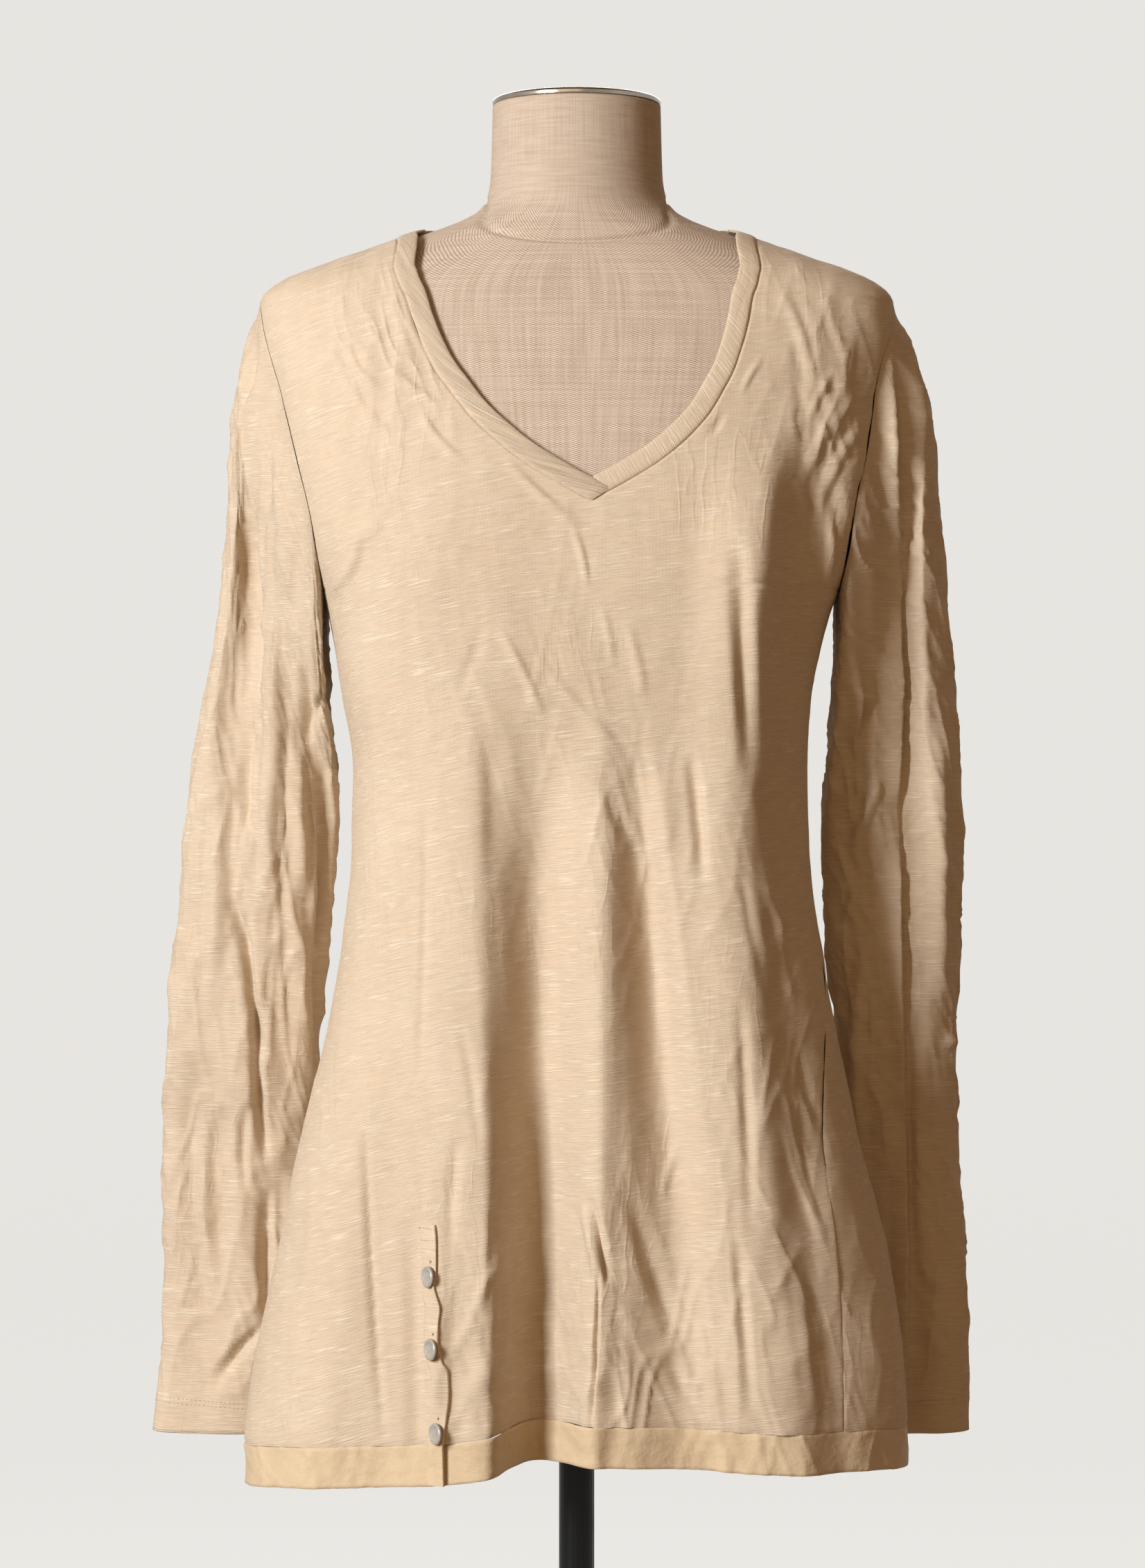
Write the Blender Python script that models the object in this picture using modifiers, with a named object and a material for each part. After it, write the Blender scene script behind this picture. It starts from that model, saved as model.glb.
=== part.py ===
"""Long-sleeved V-neck t-shirt worn by a limbless dress form on a pole stand.

Metres, +Z up. The origin is on the floor, on the pole's axis, and the shirt's front faces -Y.
Sides are the wearer's: the right side is at -X and the left side at +X.

Every cloth piece of the body lies on one surface, the worn shirt, read at an angle round the body
and a height: 0 degrees is the middle of the front, 90 the left side, 180 the middle of the back
and -90 the right side. On the shoulders the surface follows the form, a little above it, and lower
down it hangs free in pipes, which are the rows of FOLDS.
"""
import math
from bisect import bisect_right
from collections import namedtuple

import bmesh
import bpy
from mathutils import Vector

# Cloth
CLOTH = 0.0014            # wall of every cloth piece
SEAM_GAP = 0.0005         # between the middle surfaces' edges at a seam
STACK = CLOTH + 0.0004    # from one layer's middle to the next one's

# Heights of the shirt
NECK_POINT_Z = 1.4375     # where shoulder seam and neckline meet
SHOULDER_TIP_Z = 1.402
UNDERARM_Z = 1.234
CUFF_Z = 0.745
HEM_BAND = 0.0225         # height of the woven band
HEM_MEAN_Z = 0.742        # about which the hem line rises and falls
HEM_SHAPED_BELOW = 0.97   # rows under this height bend towards the hem line

# Rows and columns of the meshes
SHOULDER_LEVELS = (NECK_POINT_Z, 1.4335, 1.4280, 1.4210, 1.4120)
ARMHOLE_STEPS = 14        # rows from the shoulder tip to the underarm
V_STEP = 9                # the row, counted down the armhole, that the V's point is on
BODY_STEPS = 12           # rows from the underarm to the hem seam
FRONT_COLUMNS = {-1: 26, 1: 14}  # from the middle of the front to the right and the left side
FRONT_BIAS = 0.25         # how much closer together the low rows' columns are near the middle
BACK_COLUMNS = 22         # from side to side
SLEEVE_RINGS = 13
FORM_SIDES = 26

# Armhole: how far the seam comes in from the side, on front and back, and how full the curve is
ARMHOLE_IN = 19.0
ARMHOLE_FULLNESS = 0.7
SLEEVE_SET = 0.0012       # from the armhole's edge out to the sleeve's, at the shoulder tip
SLEEVE_SET_UNDERARM = 0.0022
SLEEVE_FREE_AT = 0.10     # share of the length where the sleeve's outer side hangs as a tube
SLEEVE_FREE_UNDERARM = 0.30

# Neckband
BAND_WIDTH = 0.0115
BAND_LAP_Z = 1.325        # the upper end of the lap rises above the other end below this height
BAND_PROUD = 0.0030       # how far the back of the band stands away from the neck
V_SHIFT = 2.8             # the V's point lies this many degrees to the wearer's left

# Placket and buttons
PLACKET_TOP_Z = 0.884
PLACKET_WIDTH = 0.0125    # seen from the front, on cloth that faces sideways
PLACKET_ROWS = 6
PLACKET_COLUMNS = 4
PLACKET_RISE = STACK + 0.0005  # over the front's faces, which its own faces cross
BUTTON_HEIGHTS = (0.8555, 0.8162, 0.7703)
BUTTON_RADIUS = 0.0060
BUTTON_THICK = 0.0024

# Form and stand
FORM_LIFT = 0.0019        # the shirt's middle surface above the form on the shoulders
YOKE_FROM_Z = 1.30        # between these heights the shirt changes from its own
YOKE_TO_Z = 1.37          # sections to the form's
SOLID_GAP = 0.0003        # between two hard pieces that rest on each other
RING_RADIUS = 0.0486
RING_HEIGHT = 0.0036
SOCKET_RADIUS = 0.0240
SOCKET_HEIGHT = 0.0200
POLE_RADIUS = 0.0102
BASE_RADIUS = 0.1750
BASE_THICK = 0.0080
HUB_RADIUS = 0.0340
HUB_TOP_RADIUS = 0.0160
HUB_HEIGHT = 0.0400

# Half-widths, depths from side_y and the powers of the rounded outline, at a height: the higher
# the power, the flatter the panel and the sharper its turn to the side
Section = namedtuple("Section", "z right left front back side_y front_power back_power")

SHIRT_SECTIONS = [
    Section(1.3400, 0.1780, 0.1840, 0.0965, 0.1010, 0.000, 2.8, 2.50),
    Section(1.2940, 0.1625, 0.1680, 0.1060, 0.1035, 0.000, 3.2, 2.40),
    Section(1.2570, 0.1510, 0.1580, 0.1130, 0.1025, 0.000, 3.5, 2.30),
    Section(1.2340, 0.1440, 0.1490, 0.1150, 0.1010, 0.000, 3.5, 2.25),
    Section(1.2140, 0.1400, 0.1425, 0.1150, 0.1000, 0.000, 3.4, 2.20),
    Section(1.1740, 0.1340, 0.1340, 0.1135, 0.0985, 0.000, 3.3, 2.20),
    Section(1.1340, 0.1280, 0.1320, 0.1125, 0.0975, 0.000, 3.2, 2.20),
    Section(1.0900, 0.1285, 0.1325, 0.1120, 0.0975, -0.002, 3.2, 2.20),
    Section(1.0340, 0.1335, 0.1395, 0.1105, 0.0990, -0.006, 3.1, 2.20),
    Section(0.9740, 0.1450, 0.1500, 0.1070, 0.1030, -0.012, 3.0, 2.20),
    Section(0.9280, 0.1560, 0.1600, 0.1040, 0.1060, -0.016, 2.9, 2.20),
    Section(0.8560, 0.1710, 0.1775, 0.0995, 0.1100, -0.022, 2.8, 2.20),
    Section(0.7910, 0.1840, 0.1865, 0.0960, 0.1130, -0.027, 2.7, 2.20),
    Section(0.7520, 0.1885, 0.1880, 0.0940, 0.1150, -0.030, 2.6, 2.20),
    Section(0.7280, 0.1885, 0.1880, 0.0940, 0.1150, -0.030, 2.6, 2.20),
]

FormSection = namedtuple("FormSection", "z half front back power")

FORM_SECTIONS = [
    FormSection(1.5160, 0.0484, 0.0484, 0.0484, 2.0),
    FormSection(1.4750, 0.0496, 0.0500, 0.0500, 2.0),
    FormSection(1.4620, 0.0520, 0.0525, 0.0520, 2.0),
    FormSection(1.4545, 0.0575, 0.0545, 0.0535, 2.0),
    FormSection(1.4490, 0.0670, 0.0560, 0.0550, 2.0),
    FormSection(1.4450, 0.0770, 0.0570, 0.0560, 2.0),
    FormSection(1.4400, 0.0910, 0.0585, 0.0580, 2.1),
    FormSection(1.4310, 0.1155, 0.0610, 0.0620, 2.2),
    FormSection(1.4200, 0.1470, 0.0655, 0.0680, 2.3),
    FormSection(1.4110, 0.1690, 0.0690, 0.0730, 2.4),
    FormSection(1.4000, 0.1800, 0.0730, 0.0790, 2.5),
    FormSection(1.3850, 0.1815, 0.0785, 0.0860, 2.5),
    FormSection(1.3600, 0.1780, 0.0865, 0.0930, 2.5),
    FormSection(1.3350, 0.1700, 0.0930, 0.0975, 2.5),
    FormSection(1.3100, 0.1610, 0.0990, 0.0995, 2.5),
    FormSection(1.2800, 0.1490, 0.1050, 0.0990, 2.4),
    FormSection(1.2500, 0.1400, 0.1105, 0.0965, 2.3),
    FormSection(1.2200, 0.1330, 0.1110, 0.0930, 2.3),
    FormSection(1.1800, 0.1250, 0.1060, 0.0870, 2.3),
    FormSection(1.1200, 0.1130, 0.0900, 0.0780, 2.3),
    FormSection(1.0600, 0.1040, 0.0760, 0.0690, 2.3),
    FormSection(0.9800, 0.1100, 0.0720, 0.0600, 2.3),
    FormSection(0.9100, 0.1140, 0.0690, 0.0540, 2.3),
    FormSection(0.8640, 0.1120, 0.0670, 0.0520, 2.3),
    FormSection(0.8540, 0.1070, 0.0620, 0.0470, 2.3),
    FormSection(0.8500, 0.0980, 0.0530, 0.0380, 2.3),
]

# Half the neckline's opening, in degrees round the body
Neckline = namedtuple("Neckline", "z angle")

NECKLINE = [
    Neckline(NECK_POINT_Z, 87.0),
    Neckline(1.4300, 58.0),
    Neckline(1.4200, 45.0),
    Neckline(1.3990, 34.4),
    Neckline(1.3770, 31.0),
    Neckline(1.3590, 28.5),
    Neckline(1.3430, 25.4),
    Neckline(1.3290, 22.0),
    Neckline(1.3150, 17.4),
    Neckline(1.3032, 12.6),
    Neckline(1.2930, 7.0),
    Neckline(1.2816, 0.0),
]

# The side seams' angles from the front: the shirt has turned to the wearer's right at the hem
SideSeam = namedtuple("SideSeam", "z left right")

SIDE_SEAMS = [
    SideSeam(UNDERARM_Z, 90.0, 90.0),
    SideSeam(1.1000, 88.0, 92.0),
    SideSeam(1.0180, 80.0, 98.0),
    SideSeam(0.9780, 68.0, 105.0),
    SideSeam(0.9200, 58.0, 111.0),
    SideSeam(0.7800, 52.0, 115.0),
    SideSeam(0.7280, 51.0, 116.0),
]

# Height of the hem's lower edge round the body
Hem = namedtuple("Hem", "angle z")

HEM = [
    Hem(-180.0, 0.742),
    Hem(-90.0, 0.730),
    Hem(-55.0, 0.736),
    Hem(-25.0, 0.741),
    Hem(-7.0, 0.749),
    Hem(0.0, 0.751),
    Hem(30.0, 0.747),
    Hem(60.0, 0.744),
    Hem(90.0, 0.740),
    Hem(180.0, 0.742),
]

# A pipe of the hanging cloth, or a hollow where its height is below zero. It grows from nothing at
# z_top to its height at z_full and keeps a share of that at the hem. Its middle runs through three
# places across the body: at z_top, halfway to the hem and at the hem. It falls away over its own
# widths on the wearer's right and left, each given at z_top and at the hem
Fold = namedtuple("Fold", "panel z_top z_full x_top x_mid x_low "
                          "right_top right_low left_top left_low height at_hem")

FOLDS = [
    Fold("front", 1.20, 1.04, -0.0220, -0.0205, -0.0240, 0.034, 0.029, 0.036, 0.034, -0.020, 1.0),
    Fold("front", 1.10, 0.78, -0.0215, -0.0215, -0.0240, 0.030, 0.029, 0.036, 0.034, -0.024, 1.0),
    Fold("front", 1.24, 0.90, -0.066, -0.059, -0.050, 0.050, 0.062, 0.014, 0.016, 0.006, 1.2),
    Fold("front", 1.22, 0.90, 0.010, 0.014, 0.008, 0.036, 0.034, 0.010, 0.014, 0.004, 1.0),
    Fold("front", 1.18, 1.03, 0.0290, 0.0470, 0.0620, 0.018, 0.036, 0.010, 0.034, -0.019, 0.45),
    Fold("front", 1.33, 1.24, 0.1070, 0.0920, 0.1270, 0.040, 0.050, 0.018, 0.024, 0.013, 0.8),
    Fold("front", 1.335, 1.27, 0.1400, 0.1550, 0.2500, 0.030, 0.040, 0.030, 0.040, -0.022, 1.0),
    Fold("front", 1.18, 0.76, -0.110, -0.130, -0.148, 0.030, 0.034, 0.030, 0.034, 0.006, 1.0),
    Fold("back", 1.28, 0.78, -0.072, -0.088, -0.104, 0.036, 0.044, 0.020, 0.026, 0.011, 1.0),
    Fold("back", 1.24, 0.76, -0.040, -0.048, -0.056, 0.018, 0.026, 0.034, 0.044, -0.015, 1.0),
    Fold("back", 1.26, 0.80, -0.006, -0.008, -0.010, 0.034, 0.040, 0.020, 0.024, 0.008, 1.0),
    Fold("back", 1.22, 0.76, 0.030, 0.038, 0.044, 0.018, 0.028, 0.030, 0.042, -0.017, 1.0),
    Fold("back", 1.24, 0.78, 0.066, 0.078, 0.090, 0.034, 0.040, 0.020, 0.026, 0.009, 1.0),
    Fold("back", 1.12, 0.76, 0.100, 0.118, 0.132, 0.018, 0.024, 0.024, 0.030, -0.009, 1.0),
]

# A sleeve's outer and inner edge seen from the front, the depth of its middle, half its thickness
# and the hollow down its front
Ring = namedtuple("Ring", "z outer inner mid_y half_y hollow")

SLEEVE_RIGHT = [
    Ring(1.402, 0.1880, 0.1780, 0.000, 0.040, 0.000),
    Ring(1.375, 0.1915, 0.1740, 0.000, 0.042, 0.004),
    Ring(1.335, 0.1985, 0.1640, 0.001, 0.042, 0.008),
    Ring(1.294, 0.2005, 0.1550, 0.002, 0.040, 0.010),
    Ring(1.254, 0.2030, 0.1485, 0.003, 0.037, 0.012),
    Ring(1.214, 0.2075, 0.1450, 0.003, 0.034, 0.013),
    Ring(1.174, 0.2145, 0.1405, 0.004, 0.031, 0.013),
    Ring(1.134, 0.2215, 0.1368, 0.006, 0.029, 0.009),
    Ring(1.094, 0.2260, 0.1378, 0.009, 0.027, 0.005),
    Ring(1.034, 0.2325, 0.1430, 0.014, 0.025, 0.003),
    Ring(0.974, 0.2380, 0.1490, 0.022, 0.024, 0.003),
    Ring(0.920, 0.2420, 0.1520, 0.038, 0.023, 0.006),
    Ring(0.856, 0.2430, 0.1530, 0.048, 0.022, 0.006),
    Ring(0.800, 0.2435, 0.1560, 0.052, 0.021, 0.004),
    Ring(0.745, 0.2500, 0.1600, 0.053, 0.020, 0.002),
]

SLEEVE_LEFT = [
    Ring(1.402, 0.1860, 0.1780, 0.000, 0.040, 0.000),
    Ring(1.375, 0.1935, 0.1760, 0.000, 0.042, 0.004),
    Ring(1.335, 0.2040, 0.1700, 0.001, 0.042, 0.009),
    Ring(1.294, 0.2090, 0.1620, 0.002, 0.040, 0.013),
    Ring(1.254, 0.2120, 0.1550, 0.003, 0.037, 0.014),
    Ring(1.214, 0.2155, 0.1480, 0.003, 0.034, 0.015),
    Ring(1.174, 0.2185, 0.1462, 0.004, 0.031, 0.015),
    Ring(1.134, 0.2215, 0.1425, 0.006, 0.029, 0.012),
    Ring(1.094, 0.2238, 0.1418, 0.009, 0.027, 0.009),
    Ring(1.034, 0.2225, 0.1445, 0.014, 0.025, 0.006),
    Ring(0.974, 0.2210, 0.1510, 0.024, 0.024, 0.005),
    Ring(0.920, 0.2240, 0.1530, 0.040, 0.023, 0.006),
    Ring(0.856, 0.2285, 0.1540, 0.050, 0.022, 0.006),
    Ring(0.800, 0.2300, 0.1560, 0.053, 0.021, 0.005),
    Ring(0.745, 0.2315, 0.1580, 0.054, 0.020, 0.003),
]

SLEEVES = {"sleeve_right": (-1, SLEEVE_RIGHT), "sleeve_left": (1, SLEEVE_LEFT)}

# The hollow down the sleeve's front: its angle round the sleeve and half its width, in degrees
HOLLOW_ANGLE = 66.0
HOLLOW_WIDTH = 34.0

LOOKS = {
    # name: colour, roughness, metallic
    "jersey": ((0.62, 0.53, 0.42, 1.0), 0.90, 0.0),
    "woven": ((0.66, 0.56, 0.42, 1.0), 0.85, 0.0),
    "linen": ((0.42, 0.33, 0.24, 1.0), 0.90, 0.0),
    "pearl": ((0.80, 0.76, 0.68, 1.0), 0.25, 0.0),
    "dark_steel": ((0.20, 0.19, 0.19, 1.0), 0.25, 1.0),
    "black_paint": ((0.02, 0.02, 0.02, 1.0), 0.35, 0.0),
}


def smoothstep(low, high, value):
    """0 at low and 1 at high, level at both ends; high may be the lower number."""
    t = min(max((value - low) / (high - low), 0.0), 1.0)
    return t * t * (3.0 - 2.0 * t)


def mix(a, b, share):
    return a + (b - a) * share


def curve(rows, key, value):
    """A smooth function through two columns of a table, which never overshoots them."""
    knots = sorted((getattr(row, key), getattr(row, value)) for row in rows)
    xs = [knot[0] for knot in knots]
    ys = [knot[1] for knot in knots]
    slopes = [(ys[i + 1] - ys[i]) / (xs[i + 1] - xs[i]) for i in range(len(xs) - 1)]
    tangents = [slopes[0]]
    for before, after in zip(slopes, slopes[1:]):
        same_way = before * after > 0.0
        tangents.append(2.0 * before * after / (before + after) if same_way else 0.0)
    tangents.append(slopes[-1])

    def read(x):
        x = min(max(x, xs[0]), xs[-1])
        i = min(bisect_right(xs, x) - 1, len(xs) - 2)
        step = xs[i + 1] - xs[i]
        t = (x - xs[i]) / step
        rise = t * t * (3.0 - 2.0 * t)
        lead = t * (1.0 - t) ** 2 * tangents[i] - t * t * (1.0 - t) * tangents[i + 1]
        return mix(ys[i], ys[i + 1], rise) + step * lead

    return read


def columns(rows, key):
    """Every other column of a table as a smooth function of its key column."""
    return {name: curve(rows, key, name) for name in rows[0]._fields if name != key}


SHIRT = columns(SHIRT_SECTIONS, "z")
FORM = columns(FORM_SECTIONS, "z")
SEAMS = columns(SIDE_SEAMS, "z")
NECK_ANGLE = curve(NECKLINE, "z", "angle")
HEM_Z = curve(HEM, "angle", "z")


# ---- the worn shirt's surface ----

def shirt_section(z):
    """The shirt's own section, which becomes the form's with the cloth's lift on the shoulders."""
    own = {name: read(z) for name, read in SHIRT.items()}
    below = z - FORM_LIFT
    half = FORM["half"](below) + FORM_LIFT
    power = FORM["power"](below)
    form = {
        "right": half,
        "left": half,
        "front": FORM["front"](below) + FORM_LIFT,
        "back": FORM["back"](below) + FORM_LIFT,
        "side_y": 0.0,
        "front_power": power,
        "back_power": power,
    }
    share = smoothstep(YOKE_FROM_Z, YOKE_TO_Z, z)
    return Section(z, **{name: mix(own[name], form[name], share) for name in own})


def rounded_depth(across, power):
    """Depth of a rounded outline, from 1 in the middle to 0 where across is 1."""
    return max(0.0, 1.0 - abs(across) ** power) ** (1.0 / power)


def fold_height(panel, x, z):
    """How far the folds of a panel bring the cloth out from the plain section."""
    height = 0.0
    for fold in FOLDS:
        grown = smoothstep(fold.z_top, fold.z_full, z)
        if fold.panel != panel or grown == 0.0:
            continue
        down = (fold.z_top - z) / (fold.z_top - HEM_MEAN_Z)
        bow = 4.0 * fold.x_mid - 2.0 * (fold.x_top + fold.x_low)
        off = x - mix(fold.x_top, fold.x_low, down) - bow * down * (1.0 - down)
        if off < 0.0:
            off /= -mix(fold.right_top, fold.right_low, down)
        else:
            off /= mix(fold.left_top, fold.left_low, down)
        kept = mix(1.0, fold.at_hem, smoothstep(fold.z_full, HEM_MEAN_Z, z))
        height += fold.height * grown * kept * (0.5 + 0.5 * math.cos(math.pi * min(off, 1.0)))
    return height


def shirt_point(angle, z):
    """Point of the shirt's middle surface at an angle round the body and a height."""
    section = shirt_section(z)
    across = math.sin(math.radians(angle))
    in_front = math.cos(math.radians(angle)) >= 0.0
    x = across * (section.left if across > 0.0 else section.right)
    inner = 1.0 - abs(across) ** 6
    if in_front:
        depth = section.front * rounded_depth(across, section.front_power)
        y = section.side_y - depth - fold_height("front", x, z) * inner
    else:
        depth = section.back * rounded_depth(across, section.back_power)
        y = section.side_y + depth + fold_height("back", x, z) * inner
    return Vector((x, y, z))


def shirt_normal(angle, z):
    """Direction out of the shirt's surface."""
    turn, rise = 0.5, 0.002
    round_body = shirt_point(angle + turn, z) - shirt_point(angle - turn, z)
    upward = shirt_point(angle, z + rise) - shirt_point(angle, z - rise)
    return round_body.cross(upward).normalized()


def armhole_turn(z):
    """How many degrees the armhole's seam comes in from the side at a height."""
    middle = (SHOULDER_TIP_Z + UNDERARM_Z) / 2.0
    height = (z - middle) / (SHOULDER_TIP_Z - middle)
    return ARMHOLE_IN * max(0.0, 1.0 - height * height) ** (ARMHOLE_FULLNESS / 2.0)


def side_angle(side, z, in_front):
    """Angle of a panel's outer edge: shoulder seam, armhole or side seam, by height."""
    if z >= SHOULDER_TIP_Z:
        return side * 90.0
    if z > UNDERARM_Z:
        turn = armhole_turn(z)
        return side * (90.0 - turn if in_front else 90.0 + turn)
    return side * SEAMS["left" if side > 0 else "right"](z)


def neck_angle(side, z):
    """Angle of the front neckline, and under the V of the middle of the front."""
    return side * NECK_ANGLE(z) + V_SHIFT * smoothstep(NECK_POINT_Z, V_Z, z)


def angle_at(x, z):
    """Angle of the front surface at a place across the body."""
    section = shirt_section(z)
    half = section.left if x > 0.0 else section.right
    return math.degrees(math.asin(x / half))


def row_height(level, angle):
    """Height of a row at an angle: low rows bend until they follow the hem."""
    off_hem = HEM_Z((angle + 180.0) % 360.0 - 180.0) - HEM_MEAN_Z
    return level + off_hem * smoothstep(HEM_SHAPED_BELOW, HEM_MEAN_Z + HEM_BAND, level)


def armhole_levels():
    """Heights down the armhole, close together at its two ends."""
    middle = (SHOULDER_TIP_Z + UNDERARM_Z) / 2.0
    half = SHOULDER_TIP_Z - middle
    turns = [math.pi * i / ARMHOLE_STEPS for i in range(ARMHOLE_STEPS + 1)]
    return [middle + half * math.cos(turn) for turn in turns]


ARMHOLE_LEVELS = armhole_levels()
V_Z = ARMHOLE_LEVELS[V_STEP]
HEM_SEAM = HEM_MEAN_Z + HEM_BAND
BODY_LEVELS = [mix(UNDERARM_Z, HEM_SEAM + SEAM_GAP / 2.0, (i + 1) / BODY_STEPS)
               for i in range(BODY_STEPS)]
LEVELS = list(SHOULDER_LEVELS) + ARMHOLE_LEVELS + BODY_LEVELS
V_ROW = len(SHOULDER_LEVELS) + V_STEP
BAND_LEVELS = [HEM_SEAM - SEAM_GAP / 2.0, HEM_MEAN_Z]


# ---- meshes ----

def grid_faces(mesh, rows, closed=False):
    """Add a sheet of quads through rows of points, seen anticlockwise from outside."""
    made = [[mesh.verts.new(point) for point in row] for row in rows]
    count = len(made[0])
    for upper, lower in zip(made, made[1:]):
        for i in range(count if closed else count - 1):
            j = (i + 1) % count
            mesh.faces.new((upper[i], lower[i], lower[j], upper[j]))
    return made


def new_object(name, mesh, look, smooth=True):
    """Turn a bmesh into a named object with its material, in the shirt's collection."""
    data = bpy.data.meshes.new(name)
    mesh.to_mesh(data)
    mesh.free()
    if smooth:
        data.shade_smooth()
        data.set_sharp_from_angle(angle=math.radians(50.0))
    piece = bpy.data.objects.new(name, data)
    COLLECTION.objects.link(piece)
    data.materials.append(MATERIALS[look])
    return piece


def cloth_object(name, sheets, look, closed=False):
    """A cloth wall round the middle surface that one or more sheets of points describe."""
    mesh = bmesh.new()
    for rows in sheets:
        grid_faces(mesh, rows, closed)
    bmesh.ops.remove_doubles(mesh, verts=mesh.verts, dist=1e-6)
    piece = new_object(name, mesh, look)
    wall = piece.modifiers.new("wall", "SOLIDIFY")
    wall.thickness = CLOTH
    wall.offset = 0.0
    wall.use_even_offset = True
    wall.thickness_clamp = 1.0
    return piece


def turned_object(name, profile, look, sides=48):
    """A solid turned about the pole's axis from (radius, height) points, top to bottom."""
    mesh = bmesh.new()
    made = [mesh.verts.new((radius, 0.0, z)) for radius, z in profile]
    for upper, lower in zip(made, made[1:]):
        mesh.edges.new((upper, lower))
    piece = new_object(name, mesh, look)
    turn = piece.modifiers.new("turn", "SCREW")
    turn.steps = turn.render_steps = sides
    turn.use_merge_vertices = True
    turn.merge_threshold = 1e-5
    return piece


def make_material(name, colour, roughness, metallic):
    material = bpy.data.materials.new(name)
    material.use_nodes = True
    shader = material.node_tree.nodes["Principled BSDF"]
    shader.inputs["Base Color"].default_value = colour
    shader.inputs["Roughness"].default_value = roughness
    shader.inputs["Metallic"].default_value = metallic
    return material


# ---- cloth pieces ----

def seam_edge(side, z, in_front):
    """A panel's outer edge, held back from the seam by half the gap."""
    angle = side_angle(side, z, in_front)
    across = 0.5
    degree = (shirt_point(angle + across, z) - shirt_point(angle - across, z)).length
    inward = -side if in_front else side
    return angle + inward * SEAM_GAP / 2.0 / max(degree, 0.0008)


def front_row(level, side):
    """One row of a front half, from the middle or the neckline out to the side."""
    outer = seam_edge(side, level, True)
    inner = neck_angle(side, level)
    count = FRONT_COLUMNS[side]
    bias = 1.0 + FRONT_BIAS * smoothstep(UNDERARM_Z, HEM_SHAPED_BELOW, level)
    angles = [mix(inner, outer, (i / count) ** bias) for i in range(count + 1)]
    return [shirt_point(angle, row_height(level, angle)) for angle in angles]


def front_sheets(levels):
    """The front's right and left halves, each in rows from the right to the left."""
    right = [front_row(level, -1)[::-1] for level in levels]
    left = [front_row(level, 1) for level in levels]
    return [right, left]


def back_row(level):
    """One row of the back, from the left side round to the right side."""
    start = seam_edge(1, level, False)
    end = 360.0 + seam_edge(-1, level, False)
    angles = [mix(start, end, i / BACK_COLUMNS) for i in range(BACK_COLUMNS + 1)]
    return [shirt_point(angle, row_height(level, angle)) for angle in angles]


def armhole_point(side, turn):
    """Point of the armhole's seam: turn is 0 at the shoulder, 90 in front, 180 underneath."""
    middle = (SHOULDER_TIP_Z + UNDERARM_Z) / 2.0
    z = middle + (SHOULDER_TIP_Z - middle) * math.cos(math.radians(turn))
    return shirt_point(side_angle(side, min(z, SHOULDER_TIP_Z - 1e-6), turn <= 180.0), z)


def sleeve_ring(side, sleeve, along):
    """Points round a sleeve at a share of its length, from the armhole's shape to a hanging tube."""
    top = mix(SHOULDER_TIP_Z, CUFF_Z, along)
    bottom = mix(UNDERARM_Z, CUFF_Z, along)
    points = []
    for i in range(2 * ARMHOLE_STEPS):
        turn = 180.0 * i / ARMHOLE_STEPS
        cosine, sine = math.cos(math.radians(turn)), math.sin(math.radians(turn))
        z = mix(bottom, top, 0.5 + 0.5 * cosine)
        outer, inner = sleeve["outer"](z), sleeve["inner"](z)
        off = abs(turn - HOLLOW_ANGLE) / HOLLOW_WIDTH
        hollow = sleeve["hollow"](z) * (0.5 + 0.5 * math.cos(math.pi * min(off, 1.0)))
        x = side * mix(inner, outer, 0.5 + 0.5 * cosine)
        y = sleeve["mid_y"](z) - sleeve["half_y"](z) * sine + hollow
        seam = armhole_point(side, turn)
        set_out = mix(SLEEVE_SET_UNDERARM, SLEEVE_SET, 0.5 + 0.5 * cosine)
        free_at = mix(SLEEVE_FREE_UNDERARM, SLEEVE_FREE_AT, 0.5 + 0.5 * cosine)
        free = smoothstep(0.0, free_at, along)
        points.append(Vector((mix(seam.x + side * set_out, x, free), mix(seam.y, y, free), z)))
    return points if side < 0 else points[::-1]


def make_sleeve(name):
    side, table = SLEEVES[name]
    sleeve = columns(table, "z")
    rings = [sleeve_ring(side, sleeve, i / SLEEVE_RINGS) for i in range(SLEEVE_RINGS + 1)]
    return cloth_object(name, [rings], "jersey", closed=True)


def neck_seam():
    """The neck seam from the V up the right, round the back and down the left, as (angle, z)."""
    front = LEVELS[:V_ROW + 1]
    right = [(neck_angle(-1, z) + 360.0, z) for z in reversed(front)]
    back = [(mix(270.0, 90.0, i / BACK_COLUMNS), NECK_POINT_Z) for i in range(BACK_COLUMNS + 1)]
    left = [(neck_angle(1, z), z) for z in front]
    return right + back + left


def make_neckband():
    """A strip inside the neck seam whose first end laps over its last one at the V."""
    seam = neck_seam()
    points = [shirt_point(angle, z) for angle, z in seam]
    last = len(seam) - 1
    rows = []
    for i, (angle, z) in enumerate(seam):
        along = (points[min(i + 1, last)] - points[max(i - 1, 0)]).normalized()
        out = shirt_normal(angle, z)
        inward = along.cross(out).normalized()
        if i == 0:
            inward = (points[last - 1] - points[last]).normalized()
        lap = STACK * smoothstep(BAND_LAP_Z, V_Z, z) if i < last / 2 else 0.0
        behind = smoothstep(0.2, -0.4, math.cos(math.radians(angle)))
        edge = points[i] + inward * SEAM_GAP + out * lap
        rows.append((edge, edge + inward * (BAND_WIDTH - SEAM_GAP) + out * BAND_PROUD * behind))
    strip = [[row[0] for row in rows], [row[1] for row in rows]]
    return cloth_object("neckband", [strip], "jersey")


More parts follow.
